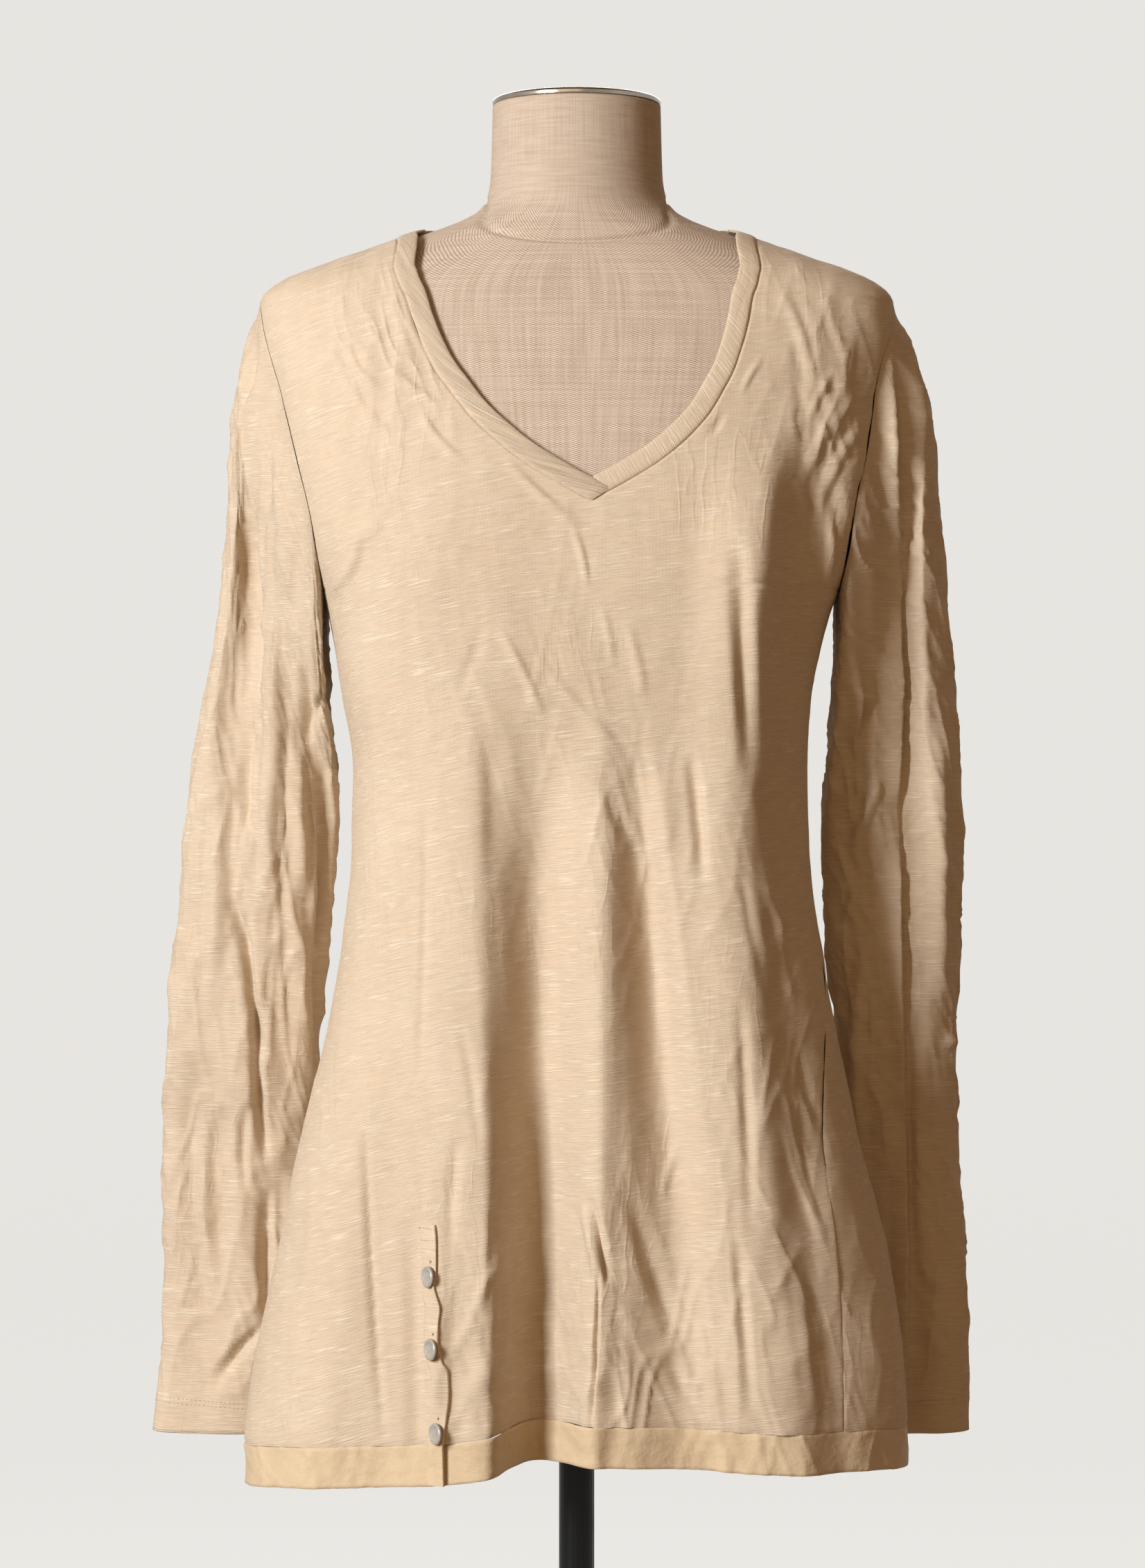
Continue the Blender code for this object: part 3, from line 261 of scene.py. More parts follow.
CREASES = {
    "front": table("Crease", CREASE_COLUMNS, [
        # chest, wearer's right
        (-0.1274, 1.3731, -0.1067, 1.3455, -0.0054, 0.0031, 0.0023, 0.0009),
        (-0.1163, 1.3849, -0.1082, 1.3704, -0.0015, 0.0023, 0.0019, 0.0005),
        (-0.1017, 1.3555, -0.0750, 1.3356, -0.0015, 0.0031, 0.0023, 0.0009),
        (-0.1385, 1.3731, -0.0960, 1.3111, -0.0054, 0.0038, 0.0031, 0.0006),
        (-0.1048, 1.4083, -0.0880, 1.3543, -0.0023, 0.0031, 0.0027, 0.0006),
        (-0.0872, 1.3321, -0.0623, 1.3042, -0.0023, 0.0031, 0.0023, 0.0008),
        (-0.0696, 1.3409, -0.0689, 1.3130, 0.0000, 0.0023, 0.0015, 0.0007),
        (-0.0375, 1.3031, 0.0023, 1.2664, -0.0015, 0.0031, 0.0023, 0.0010),
        (-0.0027, 1.2667, 0.0054, 1.2338, 0.0019, 0.0027, 0.0019, 0.0009),
        (-0.0428, 1.2109, -0.0184, 1.1635, 0.0011, 0.0031, 0.0023, 0.0013),
        (-0.0218, 1.1956, 0.0260, 1.1420, -0.0015, 0.0034, 0.0027, 0.0011),
        (-0.0497, 1.2185, -0.0650, 1.1757, 0.0015, 0.0038, 0.0031, -0.0007),
        (0.0272, 1.2139, 0.0367, 1.1719, 0.0015, 0.0034, 0.0027, 0.0009),
        (0.0138, 1.2216, 0.0199, 1.1891, 0.0011, 0.0027, 0.0023, 0.0006),
        (-0.1201, 1.2656, -0.1369, 1.2308, 0.0038, 0.0046, 0.0034, 0.0018),
        (-0.1040, 1.2771, -0.1323, 1.2522, 0.0023, 0.0054, 0.0038, 0.0009),
        # chest, wearer's left
        (0.1128, 1.4071, 0.1323, 1.3325, 0.0046, 0.0034, 0.0027, 0.0010),
        (0.1216, 1.3784, 0.1262, 1.2828, 0.0015, 0.0038, 0.0031, -0.0008),
        (0.1431, 1.3562, 0.1293, 1.3272, -0.0015, 0.0027, 0.0023, 0.0009),
        (0.1545, 1.3417, 0.1247, 1.2885, -0.0038, 0.0038, 0.0031, 0.0010),
        (0.1660, 1.3325, 0.1362, 1.2790, -0.0046, 0.0042, 0.0034, 0.0012),
        (0.1037, 1.3624, 0.0918, 1.3432, -0.0011, 0.0023, 0.0019, 0.0008),
        (0.0815, 1.3302, 0.0742, 1.3180, 0.0000, 0.0027, 0.0023, -0.0009),
        (0.1408, 1.2828, 0.1392, 1.2331, 0.0023, 0.0031, 0.0027, 0.0014),
        (0.1255, 1.2637, 0.1377, 1.2285, -0.0038, 0.0046, 0.0034, 0.0016),
        (0.1331, 1.3134, 0.1316, 1.2598, 0.0000, 0.0046, 0.0038, -0.0009),
        (0.0885, 1.2600, 0.0960, 1.1300, 0.0000, 0.0060, 0.0050, -0.0038),
        # waist
        (-0.0842, 1.1183, -0.0872, 0.9615, 0.0015, 0.0023, 0.0027, -0.0010),
        (-0.0643, 0.9959, -0.0536, 0.9232, 0.0019, 0.0031, 0.0027, -0.0009),
        (0.0145, 1.1336, 0.0375, 1.0839, -0.0031, 0.0046, 0.0038, -0.0014),
        (0.0279, 1.1107, 0.0394, 1.0609, 0.0023, 0.0038, 0.0031, 0.0010),
        (0.0627, 1.1413, 0.0689, 1.0724, 0.0011, 0.0038, 0.0031, -0.0032),
        (-0.0480, 1.1560, -0.0450, 1.0700, 0.0010, 0.0060, 0.0080, -0.0016),
        (0.1025, 1.0839, 0.1148, 1.0342, -0.0011, 0.0031, 0.0023, 0.0012),
        (0.1094, 1.0648, 0.1216, 0.9959, -0.0015, 0.0034, 0.0027, 0.0010),
        (0.0910, 1.0801, 0.1040, 1.0150, -0.0011, 0.0031, 0.0027, -0.0009),
        # skirt
        (-0.1163, 0.9400, -0.1045, 0.7600, -0.0010, 0.0036, 0.0009, -0.0026),
        (-0.0650, 0.9309, -0.0689, 0.8697, -0.0015, 0.0034, 0.0031, -0.0018),
        (-0.0421, 0.9118, -0.0490, 0.8066, -0.0015, 0.0023, 0.0023, -0.0012),
        (-0.0421, 0.8754, -0.0413, 0.8066, 0.0038, 0.0019, 0.0019, 0.0009),
        (0.0061, 0.8995, 0.0172, 0.8506, 0.0011, 0.0019, 0.0031, -0.0028),
        (0.0118, 0.8600, 0.0058, 0.7640, 0.0014, 0.0014, 0.0011, -0.0026),
        (0.0023, 0.8946, 0.0122, 0.8525, 0.0011, 0.0031, 0.0019, 0.0016),
        (0.0279, 0.9079, 0.0585, 0.8085, -0.0015, 0.0057, 0.0054, -0.0022),
        (0.0558, 0.9271, 0.0459, 0.8972, 0.0000, 0.0023, 0.0023, 0.0009),
        (0.0895, 1.0074, 0.0949, 0.8850, 0.0011, 0.0038, 0.0034, -0.0018),
        (0.0880, 0.8735, 0.0956, 0.7817, 0.0000, 0.0034, 0.0031, -0.0018),
        (0.0509, 0.8123, 0.0673, 0.7779, -0.0011, 0.0046, 0.0034, -0.0016),
        (0.0681, 0.8314, 0.0796, 0.7779, -0.0019, 0.0038, 0.0031, 0.0012),
        (0.1132, 0.9615, 0.1377, 0.8697, -0.0031, 0.0038, 0.0031, 0.0012),
        (0.1216, 0.9844, 0.1392, 0.9232, -0.0015, 0.0034, 0.0031, -0.0010),
        (-0.0887, 0.8085, -0.0842, 0.7894, 0.0011, 0.0015, 0.0015, -0.0007),
        (0.1216, 0.8620, 0.1316, 0.7779, -0.0015, 0.0038, 0.0031, 0.0011),
        (-0.1442, 0.9079, -0.1576, 0.7970, 0.0015, 0.0046, 0.0038, 0.0008),
        (-0.0760, 0.8930, -0.0740, 0.7330, 0.0000, 0.0090, 0.0050, 0.0022),
        (-0.0900, 0.8930, -0.0860, 0.7330, 0.0000, 0.0060, 0.0070, -0.0024),
    ]),
    "sleeve_right": table("Crease", CREASE_COLUMNS, [
        (-0.1836, 1.3869, -0.1883, 1.3448, 0.0010, 0.0050, 0.0030, -0.0034),
        (-0.1900, 1.2950, -0.1840, 1.1730, 0.0020, 0.0070, 0.0040, -0.0065),
        (-0.1860, 1.1607, -0.1883, 1.0961, -0.0030, 0.0040, 0.0026, -0.0040),
        (-0.1750, 1.2000, -0.1780, 1.0500, 0.0010, 0.0050, 0.0060, 0.0037),
        (-0.1899, 1.0512, -0.1789, 0.9645, -0.0024, 0.0040, 0.0024, -0.0053),
        (-0.1830, 1.0000, -0.1797, 0.9055, -0.0020, 0.0044, 0.0024, -0.0050),
        (-0.1978, 1.0590, -0.1899, 1.0275, 0.0000, 0.0034, 0.0026, -0.0028),
        (-0.1899, 0.9408, -0.1915, 0.8857, -0.0030, 0.0034, 0.0026, -0.0031),
        (-0.1789, 0.8900, -0.1789, 0.8030, -0.0008, 0.0060, 0.0024, -0.0053),
        (-0.1800, 0.8080, -0.2135, 0.7715, -0.0030, 0.0040, 0.0030, -0.0047),
        (-0.1446, 1.1370, -0.1497, 0.9600, 0.0020, 0.0046, 0.0026, -0.0059),
        (-0.1560, 1.1900, -0.1530, 1.1480, 0.0010, 0.0040, 0.0026, -0.0040),
        (-0.1426, 1.1772, -0.1525, 1.1595, 0.0000, 0.0030, 0.0026, -0.0031),
        (-0.1590, 1.1500, -0.1560, 1.0600, -0.0020, 0.0050, 0.0040, 0.0040),
        (-0.1640, 1.0800, -0.1600, 0.9300, 0.0030, 0.0060, 0.0050, 0.0031),
        (-0.2060, 1.1500, -0.2120, 0.9900, 0.0030, 0.0060, 0.0060, 0.0031),
        (-0.2150, 0.9500, -0.2100, 0.8200, -0.0040, 0.0060, 0.0050, 0.0031),
        (-0.1660, 0.9000, -0.1700, 0.7700, 0.0020, 0.0050, 0.0050, 0.0034),
        (-0.1700, 1.3200, -0.1640, 1.2300, 0.0020, 0.0050, 0.0050, 0.0028),
    ]),
    "sleeve_right_back": table("Crease", CREASE_COLUMNS, [
        (-0.1900, 1.2600, -0.1850, 1.0900, 0.0030, 0.0070, 0.0050, -0.0053),
        (-0.1650, 1.1800, -0.1850, 1.1000, -0.0030, 0.0050, 0.0040, -0.0047),
        (-0.1750, 1.0600, -0.1800, 0.9000, 0.0030, 0.0060, 0.0040, -0.0053),
        (-0.2050, 0.9800, -0.2000, 0.8200, -0.0030, 0.0060, 0.0050, 0.0040),
    ]),
    "sleeve_left": table("Crease", CREASE_COLUMNS, [
        (0.1770, 1.3900, 0.1830, 1.2400, -0.0010, 0.0060, 0.0022, 0.0047),
        (0.1830, 1.2500, 0.1830, 1.1000, -0.0010, 0.0060, 0.0022, 0.0053),
        (0.1830, 1.1100, 0.1900, 0.9300, -0.0010, 0.0060, 0.0022, 0.0053),
        (0.1900, 0.9500, 0.1920, 0.7600, 0.0000, 0.0060, 0.0022, 0.0047),
        (0.1726, 1.1300, 0.1588, 1.0867, 0.0010, 0.0040, 0.0030, 0.0034),
        (0.1627, 1.0708, 0.1549, 1.0472, 0.0010, 0.0036, 0.0030, 0.0031),
        (0.2179, 0.9802, 0.2151, 0.9723, 0.0000, 0.0030, 0.0030, 0.0022),
        (0.1560, 1.2000, 0.1590, 1.1400, 0.0020, 0.0044, 0.0030, 0.0040),
        (0.1640, 1.0300, 0.1700, 0.8700, -0.0030, 0.0050, 0.0034, 0.0040),
        (0.2050, 1.1600, 0.2080, 1.0000, 0.0030, 0.0060, 0.0050, 0.0034),
        (0.2000, 0.9800, 0.2060, 0.8300, -0.0030, 0.0050, 0.0050, 0.0031),
    ]),
    "sleeve_left_back": table("Crease", CREASE_COLUMNS, [
        (0.1900, 1.2700, 0.1850, 1.1000, -0.0030, 0.0070, 0.0050, -0.0053),
        (0.1600, 1.1900, 0.1850, 1.1100, 0.0030, 0.0050, 0.0040, -0.0047),
        (0.1750, 1.0500, 0.1800, 0.8900, -0.0030, 0.0060, 0.0040, -0.0053),
    ]),
    "back": table("Crease", CREASE_COLUMNS, [
        (-0.1300, 1.3000, -0.1000, 1.2300, 0.0040, 0.0050, 0.0040, 0.0018),
        (0.1320, 1.2900, 0.1080, 1.2150, -0.0040, 0.0050, 0.0040, 0.0018),
        (-0.0700, 1.3600, -0.0350, 1.3200, 0.0030, 0.0040, 0.0030, 0.0010),
        (0.0500, 1.2200, 0.0200, 1.1500, 0.0030, 0.0040, 0.0034, 0.0014),
        (-0.0400, 1.1400, -0.0100, 1.0700, -0.0030, 0.0040, 0.0034, 0.0014),
        (0.0900, 1.0500, 0.1050, 0.9300, 0.0020, 0.0040, 0.0034, 0.0016),
        (-0.0900, 0.9800, -0.1080, 0.8700, -0.0020, 0.0040, 0.0034, 0.0016),
        (0.0200, 0.9000, 0.0120, 0.8000, 0.0020, 0.0030, 0.0020, -0.0020),
    ]),
}

# Crumpled cloth: ridges with cells so wide and so long that lean off the vertical
CRUMPLES = table("Crumple", "across along lean height", [
    (0.0170, 0.0760, 0.14, 0.0016),
    (0.0115, 0.0440, -0.26, 0.0018),
    (0.0080, 0.0300, 0.42, 0.0013),
])
CRUMPLE_CELLS = 61
CRUMPLE_BEND = 1.2        # how far the ridges wander, in cells
CRUMPLE_SHARPNESS = 3.2
CRUMPLE_MEAN = 0.3        # taken off, so that the cloth stays where it is on the whole

# Where a piece is more crumpled than elsewhere, as soft ovals
PATCHES = table("Patch", "piece x z half_x half_z strength", [
    ("front", -0.0520, 0.8100, 0.0260, 0.0850, 0.95),
    ("front", 0.0180, 0.7950, 0.0480, 0.0600, 0.60),
    ("front", 0.1120, 0.9000, 0.0320, 0.1500, 0.65),
    ("front", 0.0620, 0.8100, 0.0420, 0.0700, 0.50),
    ("front", 0.1420, 1.3300, 0.0260, 0.0750, 0.90),
    ("front", -0.1020, 1.3650, 0.0320, 0.0450, 0.60),
    ("front", 0.0300, 1.0900, 0.0460, 0.0600, 0.45),
    ("front", -0.0250, 1.1650, 0.0360, 0.0400, 0.35),
    ("back", 0.0000, 0.8300, 0.1200, 0.1200, 0.60),
    ("back", 0.0300, 1.1300, 0.0900, 0.0900, 0.40),
    ("back", -0.1200, 1.3000, 0.0350, 0.0700, 0.60),
    ("back", 0.1200, 1.3000, 0.0350, 0.0700, 0.60),
])
CRUMPLED_ALL_OVER = {"front": 0.12, "back": 0.22, "band": 0.70, "sleeve": 0.80}

# A sleeve's rings: how far out its outer and inner sides lie, the middle and half of its depth, and
# how far its front is pushed in
RING_COLUMNS = "z outer inner mid_y half_y hollow"

SLEEVE_RIGHT = table("Ring", RING_COLUMNS, [
    (1.402, 0.1880, 0.1780, 0.000, 0.040, 0.000),
    (1.375, 0.1915, 0.1740, 0.000, 0.042, 0.004),
    (1.335, 0.1985, 0.1640, 0.001, 0.042, 0.008),
    (1.294, 0.2005, 0.1550, 0.002, 0.040, 0.010),
    (1.254, 0.2030, 0.1485, 0.003, 0.037, 0.012),
    (1.214, 0.2075, 0.1450, 0.003, 0.034, 0.013),
    (1.174, 0.2145, 0.1405, 0.004, 0.031, 0.013),
    (1.134, 0.2215, 0.1368, 0.006, 0.029, 0.009),
    (1.094, 0.2260, 0.1378, 0.009, 0.027, 0.005),
    (1.034, 0.2325, 0.1430, 0.014, 0.025, 0.003),
    (0.974, 0.2380, 0.1490, 0.022, 0.024, 0.003),
    (0.920, 0.2420, 0.1520, 0.038, 0.023, 0.006),
    (0.856, 0.2430, 0.1530, 0.048, 0.022, 0.006),
    (0.800, 0.2435, 0.1560, 0.052, 0.021, 0.004),
    (0.745, 0.2500, 0.1600, 0.053, 0.020, 0.002),
])

SLEEVE_LEFT = table("Ring", RING_COLUMNS, [
    (1.402, 0.1860, 0.1780, 0.000, 0.040, 0.000),
    (1.375, 0.1935, 0.1760, 0.000, 0.042, 0.004),
    (1.335, 0.2040, 0.1700, 0.001, 0.042, 0.009),
    (1.294, 0.2090, 0.1620, 0.002, 0.040, 0.013),
    (1.254, 0.2120, 0.1550, 0.003, 0.037, 0.014),
    (1.214, 0.2155, 0.1480, 0.003, 0.034, 0.015),
    (1.174, 0.2185, 0.1462, 0.004, 0.031, 0.015),
    (1.134, 0.2215, 0.1425, 0.006, 0.029, 0.012),
    (1.094, 0.2238, 0.1418, 0.009, 0.027, 0.009),
    (1.034, 0.2225, 0.1445, 0.014, 0.025, 0.006),
    (0.974, 0.2210, 0.1510, 0.024, 0.024, 0.005),
    (0.920, 0.2240, 0.1530, 0.040, 0.023, 0.006),
    (0.856, 0.2285, 0.1540, 0.050, 0.022, 0.006),
    (0.800, 0.2300, 0.1560, 0.053, 0.021, 0.005),
    (0.745, 0.2315, 0.1580, 0.054, 0.020, 0.003),
])

SLEEVES = {"sleeve_right": (-1, SLEEVE_RIGHT), "sleeve_left": (1, SLEEVE_LEFT)}
HOLLOW_ANGLE = {-1: 66.0, 1: 84.0}
HOLLOW_WIDTH = {-1: 34.0, 1: 26.0}


# ---- reading the tables ----

def smoothstep(low, high, value):
    """0 at low and 1 at high, level at both ends; high may be the lower number."""
    t = np.clip((value - low) / (high - low), 0.0, 1.0)
    return t * t * (3.0 - 2.0 * t)


def mix(a, b, share):
    return a + (b - a) * share


def curve(rows, key, value):
    """A smooth function through two columns of a table, which never overshoots them."""
    knots = sorted((getattr(row, key), getattr(row, value)) for row in rows)
    xs = np.array([knot[0] for knot in knots])
    ys = np.array([knot[1] for knot in knots])
    slopes = np.diff(ys) / np.diff(xs)
    before, after = slopes[:-1], slopes[1:]
    same_way = before * after > 0.0
    total = np.where(same_way, before + after, 1.0)
    inner = np.where(same_way, 2.0 * before * after / total, 0.0)
    tangents = np.concatenate([slopes[:1], inner, slopes[-1:]])

    def read(x):
        x = np.clip(x, xs[0], xs[-1])
        i = np.clip(np.searchsorted(xs, x, side="right") - 1, 0, len(xs) - 2)
        step = xs[i + 1] - xs[i]
        t = (x - xs[i]) / step
        rise = t * t * (3.0 - 2.0 * t)
        lead = t * (1.0 - t) ** 2 * tangents[i] - t * t * (1.0 - t) * tangents[i + 1]
        return mix(ys[i], ys[i + 1], rise) + step * lead

    return read


def columns(rows, key):
    """Every other column of a table as a smooth function of its key column."""
    return {name: curve(rows, key, name) for name in rows[0]._fields if name != key}


SHIRT = columns(SHIRT_SECTIONS, "z")
FORM = columns(FORM_SECTIONS, "z")
SEAMS = columns(SIDE_SEAMS, "z")
NECK_ANGLE = curve(NECKLINE, "z", "angle")
HEM_Z = curve(HEM, "angle", "z")


# ---- the worn shirt's surface ----

def shirt_section(z):
    """The shirt's own section, which becomes the form's with the cloth's lift on the shoulders."""
    own = {name: read(z) for name, read in SHIRT.items()}
    below = z - FORM_LIFT
    half = FORM["half"](below) + FORM_LIFT
    power = FORM["power"](below)
    form = {
        "right": half,
        "left": half,
        "front": FORM["front"](below) + FORM_LIFT,
        "back": FORM["back"](below) + FORM_LIFT,
        "side_y": 0.0,
        "front_power": power + SHOULDER_SQUARE,
        "power": power,
    }
    share = smoothstep(YOKE_FROM_Z, YOKE_TO_Z, z)
    return {name: mix(own[name], form[name], share) for name in own}


def rounded_depth(across, power):
    """Depth of a rounded outline, from 1 in the middle to 0 where across is 1."""
    return np.maximum(0.0, 1.0 - np.abs(across) ** power) ** (1.0 / power)


def bump_profile(off, right, left):
    """1 at off 0, falling smoothly to 0 over the width on each side."""
    share = np.abs(off) / np.where(off < 0.0, right, left)
    return np.where(share < 1.0, 0.5 + 0.5 * np.cos(np.pi * np.minimum(share, 1.0)), 0.0)


def fold_height(panel, x, z):
    """How far the pipes of a panel bring the cloth out from the plain section."""
    height = np.zeros(np.broadcast(x, z).shape)
    for fold in FOLDS:
        if fold.panel != panel:
            continue
        down = (fold.z_top - z) / (fold.z_top - HEM_Z_LOW)
        sag = 4.0 * fold.x_mid - 2.0 * (fold.x_top + fold.x_low)
        off = x - mix(fold.x_top, fold.x_low, down) - sag * down * (1.0 - down)
        right = mix(fold.right_top, fold.right_low, down)
        left = mix(fold.left_top, fold.left_low, down)
        size = smoothstep(fold.z_top, fold.z_full, z)
        size = size * mix(1.0, fold.at_hem, smoothstep(fold.z_full, HEM_Z_LOW, z))
        height += fold.height * size * bump_profile(off, right, left)
    return height


def shirt_points(angle, z):
    """Points of the shirt's surface at angles round the body and heights."""
    section = shirt_section(z)
    across = np.sin(np.radians(angle))
    in_front = np.cos(np.radians(angle)) >= 0.0
    x = across * np.where(across > 0.0, section["left"], section["right"])
    inner = 1.0 - np.abs(across) ** 6
    front = rounded_depth(across, section["front_power"])
    front = -section["front"] * front - fold_height("front", x, z) * inner
    back = rounded_depth(across, section["power"])
    back = section["back"] * back + fold_height("back", x, z) * inner
    y = section["side_y"] + np.where(in_front, front, back)
    return np.stack([x, y, np.broadcast_to(z, x.shape)], axis=-1)


def armhole_turn(z):
    """How many degrees the armhole's seam comes in from the side at a height."""
    middle = (SHOULDER_TIP_Z + UNDERARM_Z) / 2.0
    height = (z - middle) / (SHOULDER_TIP_Z - middle)
    return ARMHOLE_IN * np.maximum(0.0, 1.0 - height * height) ** (ARMHOLE_FULLNESS / 2.0)


def side_angle(side, z, in_front):
    """Angle of a panel's outer edge: shoulder seam, armhole or side seam, by height."""
    turn = armhole_turn(z) * (-1.0 if in_front else 1.0)
    armhole = side * (90.0 + turn)
    seam = side * SEAMS["left" if side > 0 else "right"](z)
    return np.where(z >= SHOULDER_TIP_Z, side * 90.0, np.where(z > UNDERARM_Z, armhole, seam))


def neck_angle(side, z):
    """Angle of the front neckline, and under the V of the middle of the front."""
    return side * NECK_ANGLE(z) + V_SHIFT * smoothstep(NECK_POINT_Z, V_Z, z)


def row_height(level, angle):
    """Height of a row at an angle: low rows bend until they follow the hem."""
    off_hem = HEM_Z((angle + 180.0) % 360.0 - 180.0) - HEM_MEAN_Z
    return level + off_hem * smoothstep(HEM_SHAPED_BELOW, HEM_SEAM, level)


def angle_at(x, z):
    """Angle of the front surface at a place across the body."""
    section = shirt_section(z)
    return np.degrees(np.arcsin(x / np.where(x > 0.0, section["left"], section["right"])))


# ---- working on grids of points ----

def grid_normals(points, closed=False):
    """Outward direction at every point of a grid whose rows run down and columns to the left."""
    down = np.gradient(points, axis=0)
    if closed:
        wide = np.concatenate([points[:, -1:], points, points[:, :1]], axis=1)
        across = np.gradient(wide, axis=1)[:, 1:-1]
    else:
        across = np.gradient(points, axis=1)
    normal = np.cross(down, across)
    return normal / np.maximum(np.linalg.norm(normal, axis=-1, keepdims=True), 1e-12)


def run_length(points, axis):
    """Distance run along each row or column of a grid, from its start."""
    steps = np.linalg.norm(np.diff(points, axis=axis), axis=-1)
    start = np.zeros_like(np.take(steps, [0], axis=axis))
    return np.concatenate([start, np.cumsum(steps, axis=axis)], axis=axis)


def crease_height(piece, x, z):
    """Relief of the small creases of a piece, seen from the front or the back."""
    height = np.zeros(x.shape)
    for crease in CREASES.get(piece, []):
        run_x, run_z = crease.x1 - crease.x0, crease.z1 - crease.z0
        length = math.hypot(run_x, run_z)
        along = ((x - crease.x0) * run_x + (z - crease.z0) * run_z) / length ** 2
        inside = (along > 0.0) & (along < 1.0)
        along = np.clip(along, 0.0, 1.0)
        off = (-(x - crease.x0) * run_z + (z - crease.z0) * run_x) / length
        off -= crease.bow * 4.0 * along * (1.0 - along)
        taper = np.sin(np.pi * along) ** 0.7
        profile = bump_profile(off, crease.before * CREASE_WIDTH, crease.after * CREASE_WIDTH)
        height += crease.height * CREASE_HEIGHT * inside * taper * profile
    return height


def soft_noise(x, z, seed):
    """Smooth random values from 0 to 1, one to a unit cell."""
    values = np.random.default_rng(seed).random((CRUMPLE_CELLS, CRUMPLE_CELLS))
    column, row = np.floor(x).astype(int), np.floor(z).astype(int)
    share_x, share_z = smoothstep(0.0, 1.0, x - column), smoothstep(0.0, 1.0, z - row)

    def corner(right, up):
        return values[(column + right) % CRUMPLE_CELLS, (row + up) % CRUMPLE_CELLS]

    low = mix(corner(0, 0), corner(1, 0), share_x)
    high = mix(corner(0, 1), corner(1, 1), share_x)
    return mix(low, high, share_z)


def crumple_height(piece, x, z):
    """Irregular ridges of crumpled cloth, stronger in some places."""
    strength = np.full(x.shape, CRUMPLED_ALL_OVER[piece.split("_")[0]])
    for patch in PATCHES:
        if patch.piece == piece:
            away = ((x - patch.x) / patch.half_x) ** 2 + ((z - patch.z) / patch.half_z) ** 2
            strength += patch.strength * np.exp(-away)
    height = np.zeros(x.shape)
    for i, crumple in enumerate(CRUMPLES):
        seed = 17 * len(piece) + i
        bend = soft_noise(x / (2.0 * crumple.across), z / crumple.along, seed + 5)
        u = (x + crumple.lean * z) / crumple.across + CRUMPLE_BEND * bend
        noise = soft_noise(u, z / crumple.along, seed)
        ridge = (1.0 - np.abs(2.0 * noise - 1.0)) ** CRUMPLE_SHARPNESS
        height += crumple.height * (ridge - CRUMPLE_MEAN)
    return strength * height


def unevenness(x, z, seed):
    """Soft, wide undulation that hanging cloth always has."""
    height = np.zeros(x.shape)
    for i in range(UNEVEN_WAVES):
        turn = seed + 1.7 * i
        across = 2.0 * math.pi / (0.034 + 0.009 * ((i * 3) % UNEVEN_WAVES))
        upward = 2.0 * math.pi / (0.16 + 0.05 * ((i * 5) % UNEVEN_WAVES))
        lean = 0.35 * math.sin(2.3 * turn)
        height += np.sin(across * (x + lean * z) + turn) * np.sin(upward * z + 2.1 * turn)
    return UNEVEN_HEIGHT * height


def tuck(distance):
    """How far a seam's edge turns in at a distance from it."""
    return -TUCK_DEPTH * np.exp(-(distance / TUCK_REACH) ** 2)


def closer_at_ends(count, share=0.45):
    """Steps from 0 to 1 that are closer together at both ends."""
    t = np.linspace(0.0, 1.0, count + 1)
    return mix(t, t * t * (3.0 - 2.0 * t), share)


# ---- making objects ----

SHARP_ANGLE = 40.0


def new_piece(name, data, material):
    """A visible piece of the part from its mesh."""
    data.materials.append(material)
    piece = bpy.data.objects.new(name, data)
    bpy.context.scene.collection.objects.link(piece)
    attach(piece, "root")
    return piece


def quads(rows, count, closed, offset=0):
    """Corner numbers of the faces of a grid, seen anticlockwise from outside."""
    row, column = np.meshgrid(np.arange(rows - 1), np.arange(count if closed else count - 1),
                              indexing="ij")
    right = (column + 1) % count
    corner = offset + np.stack([row * count + column, (row + 1) * count + column,
                                (row + 1) * count + right, row * count + right], axis=-1)
    return corner.reshape(-1, 4)


def grid_uvs(uv, closed):
    """UVs of every face corner of a grid, in the order of quads()."""
    if closed:
        uv = np.concatenate([uv, 2.0 * uv[:, -1:] - uv[:, -2:-1]], axis=1)
    return np.stack([uv[:-1, :-1], uv[1:, :-1], uv[1:, 1:], uv[:-1, 1:]], axis=2).reshape(-1, 2)


def cloth_piece(name, grids, material, closed=False, weld=False):
    """One object from grids of points with their UVs in metres."""
    corners, faces, uvs, offset = [], [], [], 0
    for points, uv in grids:
        rows, count = points.shape[:2]
        corners.append(points.reshape(-1, 3))
        faces.append(quads(rows, count, closed, offset))
        uvs.append(grid_uvs(uv, closed))
        offset += rows * count
    data = bpy.data.meshes.new(name)
    data.from_pydata(np.concatenate(corners).tolist(), [], np.concatenate(faces).tolist())
    layer = data.uv_layers.new(name="cloth")
    layer.data.foreach_set("uv", np.concatenate(uvs).astype(np.float32).ravel())
    if weld:
        mesh = bmesh.new()
        mesh.from_mesh(data)
        bmesh.ops.remove_doubles(mesh, verts=mesh.verts, dist=1e-6)
        mesh.to_mesh(data)
        mesh.free()
    data.shade_smooth()
    return new_piece(name, data, material)


def spin_profile(mesh, profile, sides):
    """Turn (radius, height) points about the pole's axis."""
    made = [mesh.verts.new((radius, 0.0, z)) for radius, z in profile]
    for upper, lower in zip(made, made[1:]):
        mesh.edges.new((upper, lower))
    bmesh.ops.spin(mesh, geom=mesh.verts[:] + mesh.edges[:], axis=(0, 0, 1), cent=(0, 0, 0),
                   angle=2.0 * math.pi, steps=sides, use_merge=True)
    bmesh.ops.remove_doubles(mesh, verts=mesh.verts, dist=1e-6)


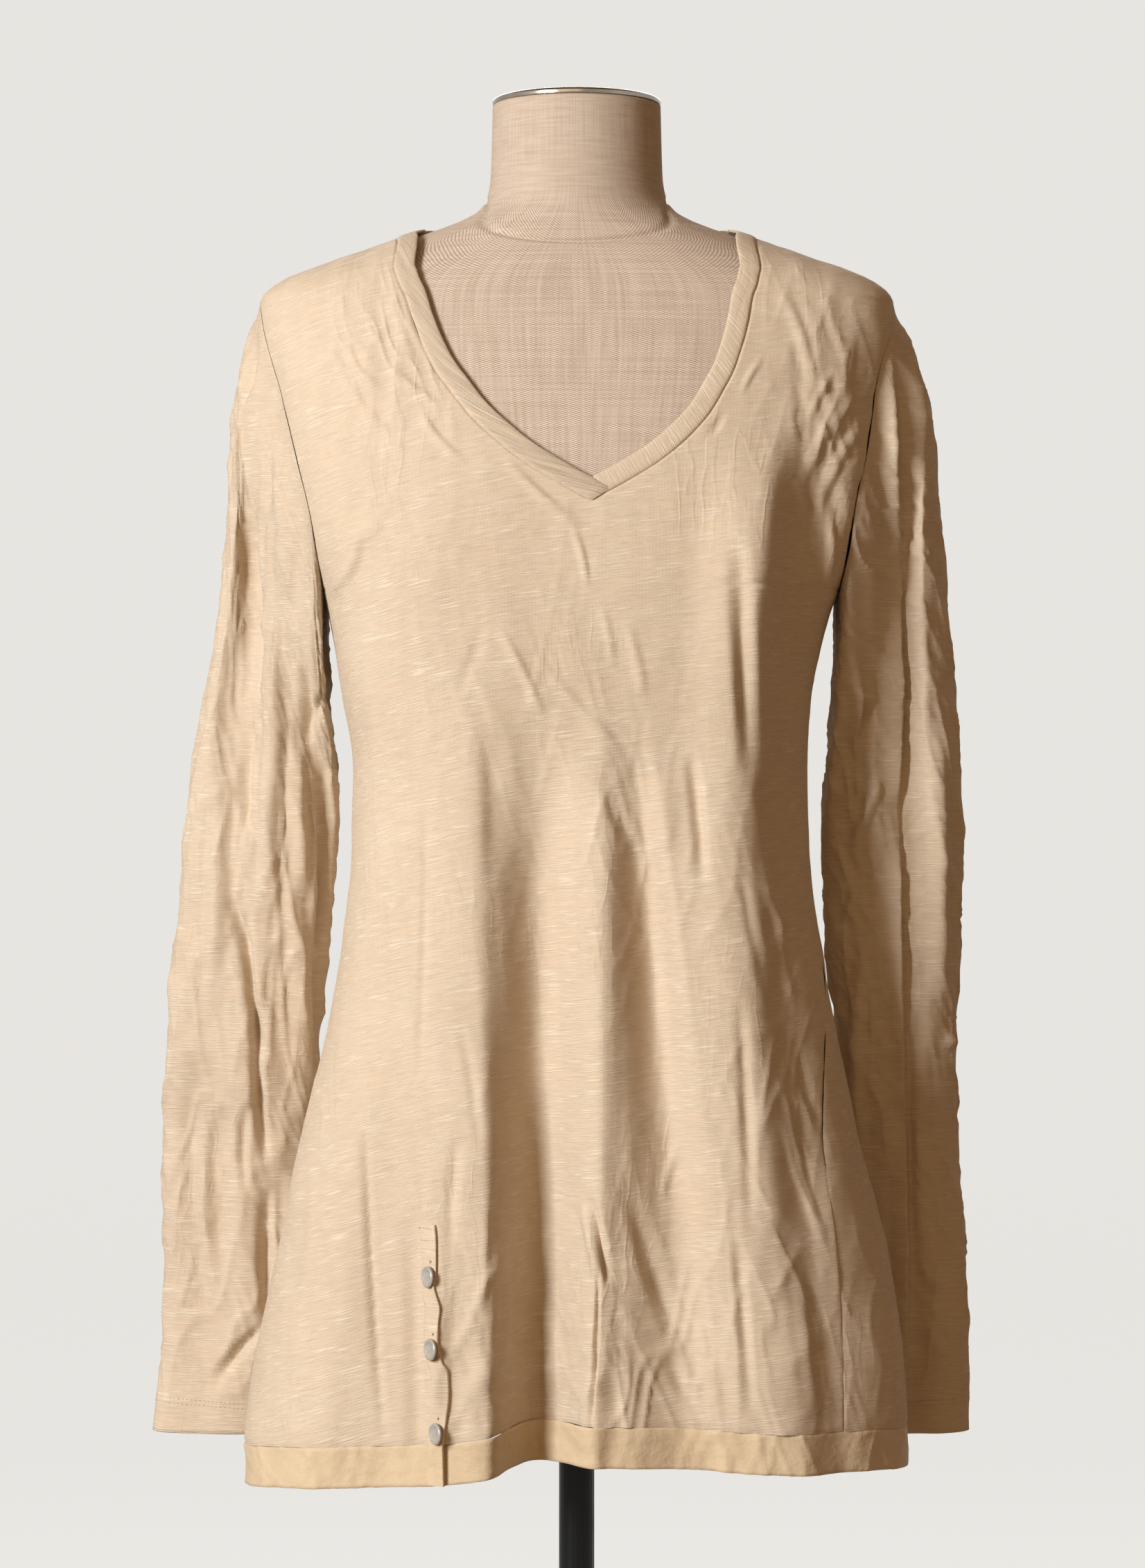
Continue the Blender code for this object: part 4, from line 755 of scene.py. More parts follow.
def turned_piece(name, profile, material, node, sides=96):
    """A hard piece turned about the pole's axis from (radius, height) points, top to bottom."""
    mesh = bmesh.new()
    spin_profile(mesh, profile, sides)
    bmesh.ops.recalc_face_normals(mesh, faces=mesh.faces)
    data = bpy.data.meshes.new(name)
    mesh.to_mesh(data)
    mesh.free()
    data.shade_smooth()
    data.set_sharp_from_angle(angle=math.radians(SHARP_ANGLE))
    piece = new_piece(name, data, material)
    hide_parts(node)
    return piece


# ---- materials ----

def new_material(name, roughness):
    """A material with its node tree and its main shader."""
    material = bpy.data.materials.new(name)
    material.use_nodes = True
    shader = material.node_tree.nodes["Principled BSDF"]
    shader.inputs["Roughness"].default_value = roughness
    return material, material.node_tree, shader


def add_node(tree, kind, **inputs):
    """A node with some of its sockets set, or linked where an output socket is given."""
    node = tree.nodes.new(kind)
    for name, value in inputs.items():
        socket = node.inputs[name.replace("_", " ")]
        if isinstance(value, bpy.types.NodeSocket):
            tree.links.new(value, socket)
        else:
            socket.default_value = value
    return node


def cloth_vector(tree, scale):
    """The cloth's own coordinates in metres, scaled along and across."""
    coordinates = tree.nodes.new("ShaderNodeTexCoord")
    mapping = add_node(tree, "ShaderNodeMapping", Vector=coordinates.outputs["UV"], Scale=scale)
    return mapping.outputs["Vector"]


def noise_value(tree, scale, detail=2.0, roughness=0.5):
    """Noise on the cloth's coordinates, so many waves a metre each way."""
    node = add_node(tree, "ShaderNodeTexNoise", Vector=cloth_vector(tree, scale), Scale=1.0,
                    Detail=detail, Roughness=roughness)
    return node.outputs["Fac"]


def ramp(tree, value, stops):
    """A colour ramp on a value, from (position, colour) stops."""
    node = add_node(tree, "ShaderNodeValToRGB", Fac=value)
    elements = node.color_ramp.elements
    while len(elements) < len(stops):
        elements.new(0.5)
    for element, (position, colour) in zip(elements, stops):
        element.position = position
        element.color = colour if len(colour) == 4 else (*colour, 1.0)
    return node.outputs["Color"]


def blend(tree, kind, factor, a, b):
    """Mix two colours."""
    node = tree.nodes.new("ShaderNodeMix")
    node.data_type = "RGBA"
    node.blend_type = kind
    for socket, value in ((node.inputs[0], factor), (node.inputs[6], a), (node.inputs[7], b)):
        if isinstance(value, bpy.types.NodeSocket):
            tree.links.new(value, socket)
        else:
            socket.default_value = value
    return node.outputs[2]


def combine(tree, operation, a, b):
    """A math node on two values."""
    node = tree.nodes.new("ShaderNodeMath")
    node.operation = operation
    for socket, value in zip(node.inputs, (a, b)):
        if isinstance(value, bpy.types.NodeSocket):
            tree.links.new(value, socket)
        else:
            socket.default_value = value
    return node.outputs["Value"]


def bump(tree, shader, height, distance, strength=1.0):
    """Relief on a shader, in metres at height 1."""
    node = add_node(tree, "ShaderNodeBump", Height=height, Distance=distance, Strength=strength)
    tree.links.new(node.outputs["Normal"], shader.inputs["Normal"])


def thread_wave(tree, axis, pitch, sway=0.5):
    """Threads side by side at a pitch, rounded from 0 to 1, and as a wave from -1 to 1."""
    coordinates = tree.nodes.new("ShaderNodeTexCoord")
    split = add_node(tree, "ShaderNodeSeparateXYZ", Vector=coordinates.outputs["UV"])
    place = combine(tree, "ADD", split.outputs[axis], combine(tree, "MULTIPLY", sway, THREAD_SWAY))
    wave = combine(tree, "MULTIPLY", place, math.pi / pitch)
    wave = combine(tree, "SINE", wave, 0.0)
    return combine(tree, "ABSOLUTE", wave, 0.0), wave


BLACK = (0.0, 0.0, 0.0)
WHITE = (1.0, 1.0, 1.0)
JERSEY_DEEP = (0.590, 0.462, 0.326)
JERSEY_PALE = (0.636, 0.508, 0.368)
JERSEY_SLUB = (0.680, 0.560, 0.420, 1.0)
# Linen weave: over the threads' own tone, the gap colour holds painted shade and the light colour a
# painted highlight on the thread crossings
LINEN_GAP_SHADE = (0.330, 0.245, 0.182)
LINEN_MID = (0.520, 0.410, 0.310)
LINEN_CROWN_HIGHLIGHT = (0.720, 0.600, 0.482)
LINEN_WARP = 0.00124      # from thread to thread
LINEN_WEFT = 0.00058
WEAVE_RADIUS = 0.115      # at which the form's weave is as wide as it is long
THREAD_SWAY = 0.0030      # how far threads wander from straight
WRINKLE_SHARE = 1.5       # fine wrinkles against the knit's relief


def slub_streaks(tree):
    """Sparse short streaks along the knitted rows, from 0 to 1."""
    streak = noise_value(tree, (62.0, 1750.0, 1.0), 1.5)
    patch = noise_value(tree, (30.0, 160.0, 1.0), 1.0)
    total = combine(tree, "MULTIPLY_ADD", patch, 0.40)
    tree.links.new(streak, total.node.inputs[2])
    return ramp(tree, total, ((0.70, BLACK), (0.86, WHITE)))


def jersey_material(name):
    material, tree, shader = new_material(name, 0.88)
    cloud = noise_value(tree, (14.0, 14.0, 1.0), 3.0)
    rows = noise_value(tree, (44.0, 1050.0, 1.0), 2.5)
    base = ramp(tree, cloud, ((0.30, JERSEY_DEEP), (0.70, JERSEY_PALE)))
    shade = ramp(tree, rows, ((0.32, (0.90, 0.885, 0.865)), (0.64, WHITE)))
    base = blend(tree, "MULTIPLY", 1.0, base, shade)
    streaks = slub_streaks(tree)
    colour = blend(tree, "MIX", streaks, base, JERSEY_SLUB)
    tree.links.new(colour, shader.inputs["Base Color"])
    shader.inputs["Sheen Weight"].default_value = 0.10
    shader.inputs["Sheen Roughness"].default_value = 0.45
    shader.inputs["Specular IOR Level"].default_value = 0.2
    wales, _ = thread_wave(tree, "X", 0.00048)
    relief = combine(tree, "ADD", combine(tree, "MULTIPLY", wales, 0.35), streaks)
    relief = combine(tree, "ADD", relief, combine(tree, "MULTIPLY", rows, 0.7))
    wrinkle = ramp(tree, noise_value(tree, (80.0, 20.0, 1.0), 2.0, 0.5),
                   ((0.43, BLACK), (0.50, WHITE), (0.57, BLACK)))
    patch = ramp(tree, noise_value(tree, (13.0, 9.0, 1.0), 1.0), ((0.48, BLACK), (0.66, WHITE)))
    wrinkle = combine(tree, "MULTIPLY", wrinkle, patch)
    relief = combine(tree, "ADD", relief, combine(tree, "MULTIPLY", wrinkle, WRINKLE_SHARE))
    bump(tree, shader, relief, 0.00016)
    return material


def woven_material():
    material, tree, shader = new_material("woven_band", 0.80)
    cloud = noise_value(tree, (22.0, 40.0, 1.0), 3.0)
    base = ramp(tree, cloud, ((0.30, (0.570, 0.432, 0.270)), (0.70, (0.618, 0.476, 0.305))))
    warp = noise_value(tree, (1900.0, 180.0, 1.0), 1.0)
    weft = noise_value(tree, (180.0, 1900.0, 1.0), 1.0)
    weave = combine(tree, "ADD", warp, weft)
    shade = ramp(tree, combine(tree, "MULTIPLY", weave, 0.5),
                 ((0.35, (0.93, 0.92, 0.90)), (0.65, WHITE)))
    tree.links.new(blend(tree, "MULTIPLY", 1.0, base, shade), shader.inputs["Base Color"])
    shader.inputs["Sheen Weight"].default_value = 0.08
    shader.inputs["Specular IOR Level"].default_value = 0.3
    crumple = noise_value(tree, (60.0, 75.0, 1.0), 3.0, 0.55)
    relief = combine(tree, "ADD", combine(tree, "MULTIPLY", weave, 0.05), crumple)
    bump(tree, shader, relief, 0.0016)
    return material


def linen_material():
    material, tree, shader = new_material("form_linen", 0.92)
    sway = noise_value(tree, (34.0, 46.0, 1.0), 1.0)
    _, warp = thread_wave(tree, "X", LINEN_WARP, sway)
    _, weft = thread_wave(tree, "Y", LINEN_WEFT, sway)
    dots = combine(tree, "MULTIPLY", combine(tree, "MULTIPLY", warp, weft), 0.5)
    dots = combine(tree, "ADD", dots, 0.5)
    warp_tone = noise_value(tree, (700.0, 22.0, 1.0), 2.0)
    weft_tone = noise_value(tree, (22.0, 760.0, 1.0), 2.0)
    # Painted shade in the gaps between threads and a painted highlight on their crossings, over the
    # threads' own tone
    weave = ramp(tree, dots, ((0.15, LINEN_GAP_SHADE), (0.55, LINEN_MID), (0.90, LINEN_CROWN_HIGHLIGHT)))
    tone = combine(tree, "MULTIPLY", combine(tree, "ADD", warp_tone, weft_tone), 0.5)
    shade = ramp(tree, tone, ((0.36, (0.86, 0.83, 0.81)), (0.62, (1.08, 1.09, 1.10))))
    tree.links.new(blend(tree, "MULTIPLY", 1.0, weave, shade), shader.inputs["Base Color"])
    shader.inputs["Specular IOR Level"].default_value = 0.2
    bump(tree, shader, dots, 0.00014)
    return material


def pearl_material():
    material, tree, shader = new_material("mother_of_pearl", 0.34)
    coordinates = tree.nodes.new("ShaderNodeTexCoord")
    noise = add_node(tree, "ShaderNodeTexNoise", Vector=coordinates.outputs["Object"],
                     Scale=420.0, Detail=2.0, Distortion=1.2)
    colour = ramp(tree, noise.outputs["Fac"], (
        (0.30, (0.27, 0.25, 0.18)), (0.45, (0.37, 0.33, 0.25)),
        (0.56, (0.30, 0.30, 0.30)), (0.70, (0.42, 0.38, 0.30))))
    tree.links.new(colour, shader.inputs["Base Color"])
    shader.inputs["Coat Weight"].default_value = 0.12
    shader.inputs["Coat Roughness"].default_value = 0.15
    return material


def thread_material():
    material, tree, shader = new_material("sewing_thread", 0.75)
    coordinates = tree.nodes.new("ShaderNodeTexCoord")
    noise = add_node(tree, "ShaderNodeTexNoise", Vector=coordinates.outputs["Object"],
                     Scale=900.0, Detail=1.0)
    colour = ramp(tree, noise.outputs["Fac"], (
        (0.35, (0.50, 0.36, 0.22)), (0.65, (0.66, 0.50, 0.33))))
    tree.links.new(colour, shader.inputs["Base Color"])
    return material


def metal_material(name, dark, light, roughness, metallic, gloss_level):
    """Painted or plated metal with faint smears in its gloss."""
    material, tree, shader = new_material(name, roughness)
    coordinates = tree.nodes.new("ShaderNodeTexCoord")
    smear = add_node(tree, "ShaderNodeTexNoise", Vector=coordinates.outputs["Object"],
                     Scale=34.0, Detail=4.0, Roughness=0.6)
    colour = ramp(tree, smear.outputs["Fac"], ((0.30, dark), (0.70, light)))
    tree.links.new(colour, shader.inputs["Base Color"])
    gloss = ramp(tree, smear.outputs["Fac"], (
        (0.30, (roughness * 0.8,) * 3), (0.75, (roughness * 1.25,) * 3)))
    tree.links.new(gloss, shader.inputs["Roughness"])
    shader.inputs["Metallic"].default_value = metallic
    shader.inputs["Specular IOR Level"].default_value = gloss_level
    return material


def plain_material(name, colour, glow):
    """Paper for the floor and the backdrop."""
    material, _, shader = new_material(name, 1.0)
    shader.inputs["Base Color"].default_value = (*colour, 1.0)
    shader.inputs["Specular IOR Level"].default_value = 0.0
    shader.inputs["Emission Color"].default_value = (*glow, 1.0)
    shader.inputs["Emission Strength"].default_value = 1.0
    return material


# ---- body of the shirt ----

def body_relief(panel, points):
    """Bring the creases and the unevenness of a panel out along its normals."""
    normal = grid_normals(points)
    x, z = points[..., 0], points[..., 2]
    quiet = mix(UNEVEN_ON_FORM, 1.0, smoothstep(UNEVEN_FROM_Z, UNEVEN_FULL_Z, z))
    height = crease_height(panel, x, z) + crumple_height(panel, x, z)
    height = height + quiet * unevenness(x, z, 0.4 if panel == "front" else 3.1)
    on_form = smoothstep(HANGS_BELOW_Z, LIES_ABOVE_Z, z)
    height = np.maximum(height, -RELIEF_ON_FORM * on_form - RELIEF_FREE * (1.0 - on_form))
    return points + normal * height[..., None], normal


def front_grid(side, levels):
    """Angles and heights of a front half, from the middle or the neckline out to the side."""
    share = closer_at_ends(FRONT_COLUMNS[side])
    level = levels[:, None]
    inner = neck_angle(side, level)
    outer = side_angle(side, level, True)
    bias = 1.0 + 0.25 * smoothstep(UNDERARM_Z, HEM_SHAPED_BELOW, level)
    angle = mix(inner, outer, share[None, :] ** bias)
    return angle, row_height(level, angle)


def panel_levels(rows):
    """Heights of a panel's rows, with one each at the V, the underarm and the shoulder tip."""
    levels = mix(NECK_POINT_Z, HEM_SEAM, np.linspace(0.0, 1.0, rows))
    for fixed in (V_Z, UNDERARM_Z, SHOULDER_TIP_Z):
        levels[np.argmin(np.abs(levels - fixed))] = fixed
    return levels


def side_share(z):
    """How strongly the outer edge turns in: the side seam is flatter than the armhole."""
    upwards = smoothstep(UNDERARM_Z - 0.02, UNDERARM_Z + 0.01, z)
    return mix(SIDE_SEAM_SHARE, ARMHOLE_SEAM_SHARE, upwards)


def edge_tuck(points, free_start):
    """How far a half panel turns in at its seams: side, and neckline where it is."""
    along = run_length(points, 1)
    from_side = along[:, [-1]] - along
    from_neck = np.where(free_start[:, None], along, 1.0)
    return np.minimum(tuck(from_side) * side_share(points[..., 2]), tuck(from_neck))


def front_half(side, levels):
    """Points and UVs of a front half, with its edges turned in at the seams."""
    angle, z = front_grid(side, levels)
    points = shirt_points(angle, z)
    raised, normal = body_relief("front", points[:, ::-1] if side < 0 else points)
    turned_in = edge_tuck(points, levels > V_Z)
    turned_in = turned_in + HEM_SEAM_SHARE * tuck(z - row_height(HEM_SEAM, angle))
    if side < 0:
        turned_in = turned_in[:, ::-1]
    return raised + normal * turned_in[..., None]


def row_lift(x):
    """How much higher the knitted rows of the front run at a place across the body."""
    return 0.12 * x - 0.85 * np.minimum(x + 0.02, 0.0) ** 2


def join_halves(right, left):
    """Both halves with UVs along the cloth, so that they share one set of knitted rows."""
    grids = []
    for points, inner in ((right, -1), (left, 0)):
        x, z = points[..., 0], points[..., 2]
        along = run_length(points, 1)
        across = x[:, [inner]] + along - along[:, [inner]]
        grids.append((points, np.stack([across, z - row_lift(x)], axis=-1)))
    return grids


def make_front(material):
    levels = panel_levels(FRONT_ROWS)
    right = front_half(-1, levels)
    left = front_half(1, levels)
    piece = cloth_piece("front", join_halves(right, left), material, weld=True)
    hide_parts("front_panel")
    return piece


def back_points(levels, count):
    """Points of the back, from the left side round to the right side."""
    share = closer_at_ends(count)
    level = levels[:, None]
    start = side_angle(1, level, False)
    end = 360.0 + side_angle(-1, level, False)
    angle = mix(start, end, share[None, :])
    return shirt_points(angle, row_height(level, angle))


def make_back(material):
    levels = panel_levels(BACK_ROWS)
    points = back_points(levels, BACK_COLUMNS)
    raised, normal = body_relief("back", points)
    along = run_length(points, 1)
    from_side = np.minimum(along, along[:, [-1]] - along)
    down = run_length(points, 0)
    from_end = np.minimum(down, down[[-1]] - down)
    turned_in = np.minimum(tuck(from_side) * side_share(points[..., 2]), tuck(from_end))
    raised = raised + normal * turned_in[..., None]
    across = along - along[:, [BACK_COLUMNS // 2]]
    uv = np.stack([across, raised[..., 2]], axis=-1)
    piece = cloth_piece("back", [(raised, uv)], material)
    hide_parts("back_panel")
    return piece


# ---- hem band ----

def turn_up(points, normal, rows_up):
    """Rows that fold a piece's lower edge round and up inside it."""
    last, out = points[-1], normal[-1]
    up = np.array([0.0, 0.0, 1.0])
    rows = [last - out * HEM_THICK * 0.45 - up * 0.0002, last - out * HEM_THICK + up * 0.0003]
    rows += [points[-1 - count] - normal[-1 - count] * HEM_THICK for count in rows_up]
    return np.concatenate([points, np.stack(rows)])


def band_profile():
    """Share down the band, and the way out of the cloth, turned in under the jersey."""
    down = np.concatenate([[0.0, 0.025, 0.06], np.linspace(0.11, 1.0, BAND_ROWS)])
    out = np.full(len(down), -BAND_UNDER)
    out[:2] = (-TUCK_DEPTH - BAND_UNDER, -0.3 * TUCK_DEPTH - BAND_UNDER)
    return down, out


def band_grid(angle):
    """Points of the hem band over angles given at every column."""
    down, out = band_profile()
    z = row_height(np.full((1, 1), HEM_SEAM), angle[None, :]) - HEM_BAND * down[:, None]
    points = shirt_points(np.broadcast_to(angle[None, :], z.shape), z)
    raised, normal = body_relief("band", points)
    run = run_length(points, 1)
    calm = smoothstep(0.0, BAND_CALM_ENDS, np.minimum(run, run[:, [-1]] - run))
    points = mix(points, raised, calm[..., None]) + normal * out[:, None, None]
    return turn_up(points, grid_normals(points), BAND_TURN_ROWS)


def make_hem_bands(material):
    share = closer_at_ends(BAND_COLUMNS)
    start = side_angle(-1, HEM_SEAM, True)
    end = side_angle(1, HEM_SEAM, True)
    front = band_grid(mix(start, end, share))
    start = side_angle(1, HEM_SEAM, False)
    end = 360.0 + side_angle(-1, HEM_SEAM, False)
    back = band_grid(mix(start, end, share))
    pieces = []
    for name, points in (("hem_band_front", front), ("hem_band_back", back)):
        along = run_length(points, 1)
        piece = cloth_piece(name + "_cloth", [(points, np.stack([along, points[..., 2]], -1))],
                            material)
        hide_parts(name)
        pieces.append(piece)
    return pieces


# ---- sleeves ----

def armhole_points(side, turn):
    """Points of the armhole's seam: turn is 0 at the shoulder, 90 in front, 180 underneath."""
    middle = (SHOULDER_TIP_Z + UNDERARM_Z) / 2.0
    z = middle + (SHOULDER_TIP_Z - middle) * np.cos(np.radians(turn))
    in_armhole = side * (90.0 + armhole_turn(z) * np.where(turn <= 180.0, -1.0, 1.0))
    return shirt_points(in_armhole, z)


def sleeve_points(side, sleeve):
    """A sleeve from the armhole's shape to a hanging tube: rows down it, columns round it."""
    turn = np.linspace(0.0, 360.0, SLEEVE_COLUMNS + 1)[None, :-1]
    along = np.linspace(0.0, 1.0, SLEEVE_ROWS + 1)[:, None]
    cosine, sine = np.cos(np.radians(turn)), np.sin(np.radians(turn))
    upper = 0.5 + 0.5 * cosine
    z = mix(mix(UNDERARM_Z, CUFF_Z, along), mix(SHOULDER_TIP_Z, CUFF_Z, along), upper)
    outer, inner = sleeve["outer"](z), sleeve["inner"](z)
    off = np.minimum(np.abs(turn - HOLLOW_ANGLE[side]) / HOLLOW_WIDTH[side], 1.0)
    hollow = sleeve["hollow"](z) * (0.5 + 0.5 * np.cos(np.pi * off))
    x = side * mix(inner, outer, upper)
    y = sleeve["mid_y"](z) - sleeve["half_y"](z) * sine + hollow
    seam = armhole_points(side, turn)
    free = smoothstep(0.0, mix(SLEEVE_FREE_UNDERARM, SLEEVE_FREE_AT, upper), along)
    x = mix(seam[..., 0] + side * SLEEVE_SET, x, free)
    y = mix(seam[..., 1], y, free)
    points = np.stack([x, y, np.broadcast_to(z, x.shape)], axis=-1)
    return points if side < 0 else points[:, ::-1]


def make_sleeve(name, material):
    side, rings = SLEEVES[name]
    points = sleeve_points(side, columns(rings, "z"))
    normal = grid_normals(points, True)
    x, z = points[..., 0], points[..., 2]
    facing = smoothstep(0.25, -0.25, normal[..., 1])
    height = crease_height(name, x, z) * facing
    height = height + crease_height(name + "_back", x, z) * (1.0 - facing)
    height = height + 1.4 * unevenness(x * 1.3, z, 1.1 + side)
    down = run_length(points, 0)
    free = smoothstep(0.0, 0.03, down) * smoothstep(CUFF_Z, CUFF_Z + 0.04, z)
    height = height * free + ARMHOLE_SEAM_SHARE * tuck(down)
    height = height + free * crumple_height("sleeve", run_length(points, 1), z)
    points = points + normal * height[..., None]
    points = turn_up(points, grid_normals(points, True), CUFF_TURN_ROWS)
    around = run_length(points, 1)
    uv = np.stack([around, np.broadcast_to(points[..., 2], around.shape)], axis=-1)
    piece = cloth_piece(name + "_cloth", [(points, uv)], material, closed=True)
    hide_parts(name)
    return piece, points


# ---- neckband ----

def neck_seam():
    """The neck seam from the V up the right, round the back and down the left, as (angle, z)."""
    heights = mix(NECK_POINT_Z, V_Z, np.linspace(0.0, 1.0, 150))
    top = mix(NECK_POINT_Z, NECK_FLAT_Z, np.linspace(0.0, 1.0, 40))[:-1]
    heights = np.concatenate([top, heights[heights < NECK_FLAT_Z]])
    right = np.stack([neck_angle(-1, heights[::-1]) + 360.0, heights[::-1]], axis=-1)
    back_angle = np.linspace(270.0 + 2.0, 90.0 - 2.0, 90)[1:-1]
    back = np.stack([back_angle, np.full(len(back_angle), NECK_POINT_Z)], axis=-1)
    left = np.stack([neck_angle(1, heights), heights], axis=-1)
    return np.concatenate([right, back, left])


def unit(vectors):
    return vectors / np.maximum(np.linalg.norm(vectors, axis=-1, keepdims=True), 1e-12)


def seam_frame(seam):
    """Points of the neck seam, the way out of the cloth and the way in over the neck."""
    angle, z = seam[:, 0], seam[:, 1]
    points = shirt_points(angle, z)
    turn = shirt_points(angle + 0.5, z) - shirt_points(angle - 0.5, z)
    rise = shirt_points(angle, z + 0.002) - shirt_points(angle, z - 0.002)
    out = unit(np.cross(turn, rise))
    along = unit(np.gradient(points, axis=0))
    inward = unit(np.cross(along, out))
    return points, out, inward


def smooth_rows(values, times):
    """Even out directions along a strip."""
    for _ in range(times):
        middle = 0.25 * values[:-2] + 0.5 * values[1:-1] + 0.25 * values[2:]
        values = np.concatenate([values[:1], middle, values[-1:]])
    return values


# Across the band from the seam: share of its width, and how far it stands out of the cloth
BAND_SECTION = table("BandPoint", "share out", [
    (-0.03, -0.0010),
    (0.01, -0.0003),
    (0.05, 0.0003),
    (0.14, 0.0006),
    (0.30, 0.0007),
    (0.50, 0.0006),
    (0.70, 0.0005),
    (0.86, 0.0003),
    (0.95, 0.0000),
    (1.00, -0.0005),
    (1.00, -0.0011),
    (0.90, -0.0013),
    (0.50, -0.0013),
])


def make_neckband(material):
    """A doubled strip inside the neck seam whose first end laps over its last one at the V."""
    seam = neck_seam()
    points, out, inward = seam_frame(seam)
    inward = unit(smooth_rows(inward, 14))
    out = unit(smooth_rows(out, 6))
    forward = unit(np.gradient(points, axis=0))
    angle, z = seam[:, 0], seam[:, 1]
    first_half = np.arange(len(seam)) < len(seam) / 2
    near_v = smoothstep(LAP_Z, V_Z, z) * first_half
    past = np.linalg.norm(points - points[0], axis=-1)
    lap = NECK_BAND_LAP * near_v * smoothstep(0.0, 0.002, past)
    reach = -forward * (LAP_REACH * smoothstep(LAP_REACH_FROM_Z, V_Z, z) * first_half)[:, None]
    behind = smoothstep(0.2, -0.4, np.cos(np.radians(angle)))
    grid = []
    for share, raised in BAND_SECTION:
        lift = out * (raised + lap + BAND_PROUD * behind * max(share, 0.0))[:, None]
        grid.append(points + (inward * NECK_BAND_WIDTH + reach) * share + lift)
    grid = np.stack(grid)[:, ::-1]
    along = run_length(grid, 1)
    across = run_length(grid, 0)
    piece = cloth_piece("neckband_cloth", [(grid, np.stack([across, along], axis=-1))], material)
    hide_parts("neckband")
    return piece


# ---- placket, buttons and stitches ----

# The opening edge of the placket
SLIT = table("Slit", "z x", [
    (0.8835, -0.0770),
    (0.8755, -0.0762),
    (0.8590, -0.0758),
    (0.8502, -0.0766),
    (0.8445, -0.0751),
    (0.8383, -0.0735),
    (0.8292, -0.0743),
    (0.8215, -0.0743),
    (0.8096, -0.0724),
    (0.8043, -0.0697),
    (0.7932, -0.0693),
    (0.7771, -0.0705),
    (0.7698, -0.0716),
    (0.7622, -0.0724),
    (0.7300, -0.0720),
])
SLIT_X = curve(SLIT, "z", "x")

# Across the placket from its sewn edge to its opening edge
STRIP_SECTION = table("StripPoint", "share lift", [
    (0.00, -0.0003),
    (0.04, 0.0004),
    (0.20, 0.0005),
    (0.40, 0.0006),
    (0.60, 0.0007),
    (0.80, 0.0011),
    (0.92, 0.0019),
    (0.98, 0.0021),
    (1.00, 0.0016),
    (0.99, 0.0004),
    (0.90, -0.0003),
])

# Lines sewn on the placket: shares across it and heights from one end to the other
PLACKET_SEAMS = [
    ((0.02, 0.98), (0.8822, 0.8818)),
    ((0.03, 0.03), (0.8822, 0.8798)),
    ((0.05, 0.90), (0.8752, 0.8752)),
]
STITCH_LIFT = 0.0011

BUTTON_PROFILE = [
    (0.0, 0.0007),
    (0.0020, 0.0007),
    (0.0036, 0.0010),
    (0.0043, 0.0016),
    (0.0050, 0.0019),
    (0.0056, 0.0017),
    (0.0060, 0.0011),
    (0.0059, 0.0003),
    (0.0054, 0.0000),
    (0.0, 0.0000),
]
BUTTON_HOLE = 0.0011      # the holes' distance from the middle
BUTTON_FACE = 0.0009      # how high the thread lies over the button's underside
BUTTON_TACK = ((0.0, -0.0016, 0.0076), (0.0, -0.0016, 0.0096))   # the stitch over the buttonhole
TACK_RADIUS = 0.00045


def on_front(x, z):
    """Points of the front with its creases, at a grid of places seen from the front."""
    z = np.broadcast_to(z, x.shape)
    return body_relief("front", shirt_points(angle_at(x, z), z))


def hem_edge(x):
    """Height of the hem band's lower edge at a place across the front."""
    level = np.full(np.shape(x), HEM_SEAM)
    return row_height(level, angle_at(x, level)) - HEM_BAND


def make_placket(material, hem_material):
    """The strip sewn over the vent, flat at its top and its sewn edge, woven along the hem."""
    down = closer_at_ends(110, 0.3)[:, None]
    bottom = hem_edge(np.array(SLIT_X(HEM_MEAN_Z)))
    z = mix(PLACKET_TOP_Z, bottom - 0.0003, down)
    share = np.array([point.share for point in STRIP_SECTION])[None, :]
    lift = np.array([point.lift for point in STRIP_SECTION])[None, :]
    x = SLIT_X(z) - PLACKET_SEEN * (1.0 - share)
    points, normal = on_front(x, z)
    from_top = PLACKET_TOP_Z - z
    turned_in = PLACKET_TOP_IN * np.exp(-(from_top / PLACKET_TOP_OVER) ** 2)
    lift = lift - turned_in * (lift > 0.0)
    points = points + normal * lift[..., None]
    across = np.broadcast_to(share * PLACKET_SEEN, z.shape[:1] + share.shape[1:])
    uv = np.stack([across, np.broadcast_to(z, across.shape)], axis=-1)
    piece = cloth_piece("placket_cloth", [(points, uv)], material)
    piece.data.materials.append(hem_material)
    seam = float(hem_edge(np.array(SLIT_X(HEM_SEAM)))) + HEM_BAND
    for face in piece.data.polygons:
        face.material_index = int(face.center.z < seam)
    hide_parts("placket")
    return piece


def make_placket_stitches(material):
    """The sewn line across the placket's top, down its side a little, and the row under it."""
    def line(shares, heights, count):
        share = np.linspace(*shares, count)[None, :].repeat(3, 0)
        z = np.linspace(*heights, count)[None, :] + np.array([[0.0008], [0.0], [-0.0008]])
        points, normal = on_front(SLIT_X(z) - PLACKET_SEEN * (1.0 - share), z)
        return points[1] + normal[1] * STITCH_LIFT

    rows = []
    for shares, heights in PLACKET_SEAMS:
        rows += stitch_row(line(shares, heights, 12), 0.0018)
    return stitches("placket_stitches", rows, material)


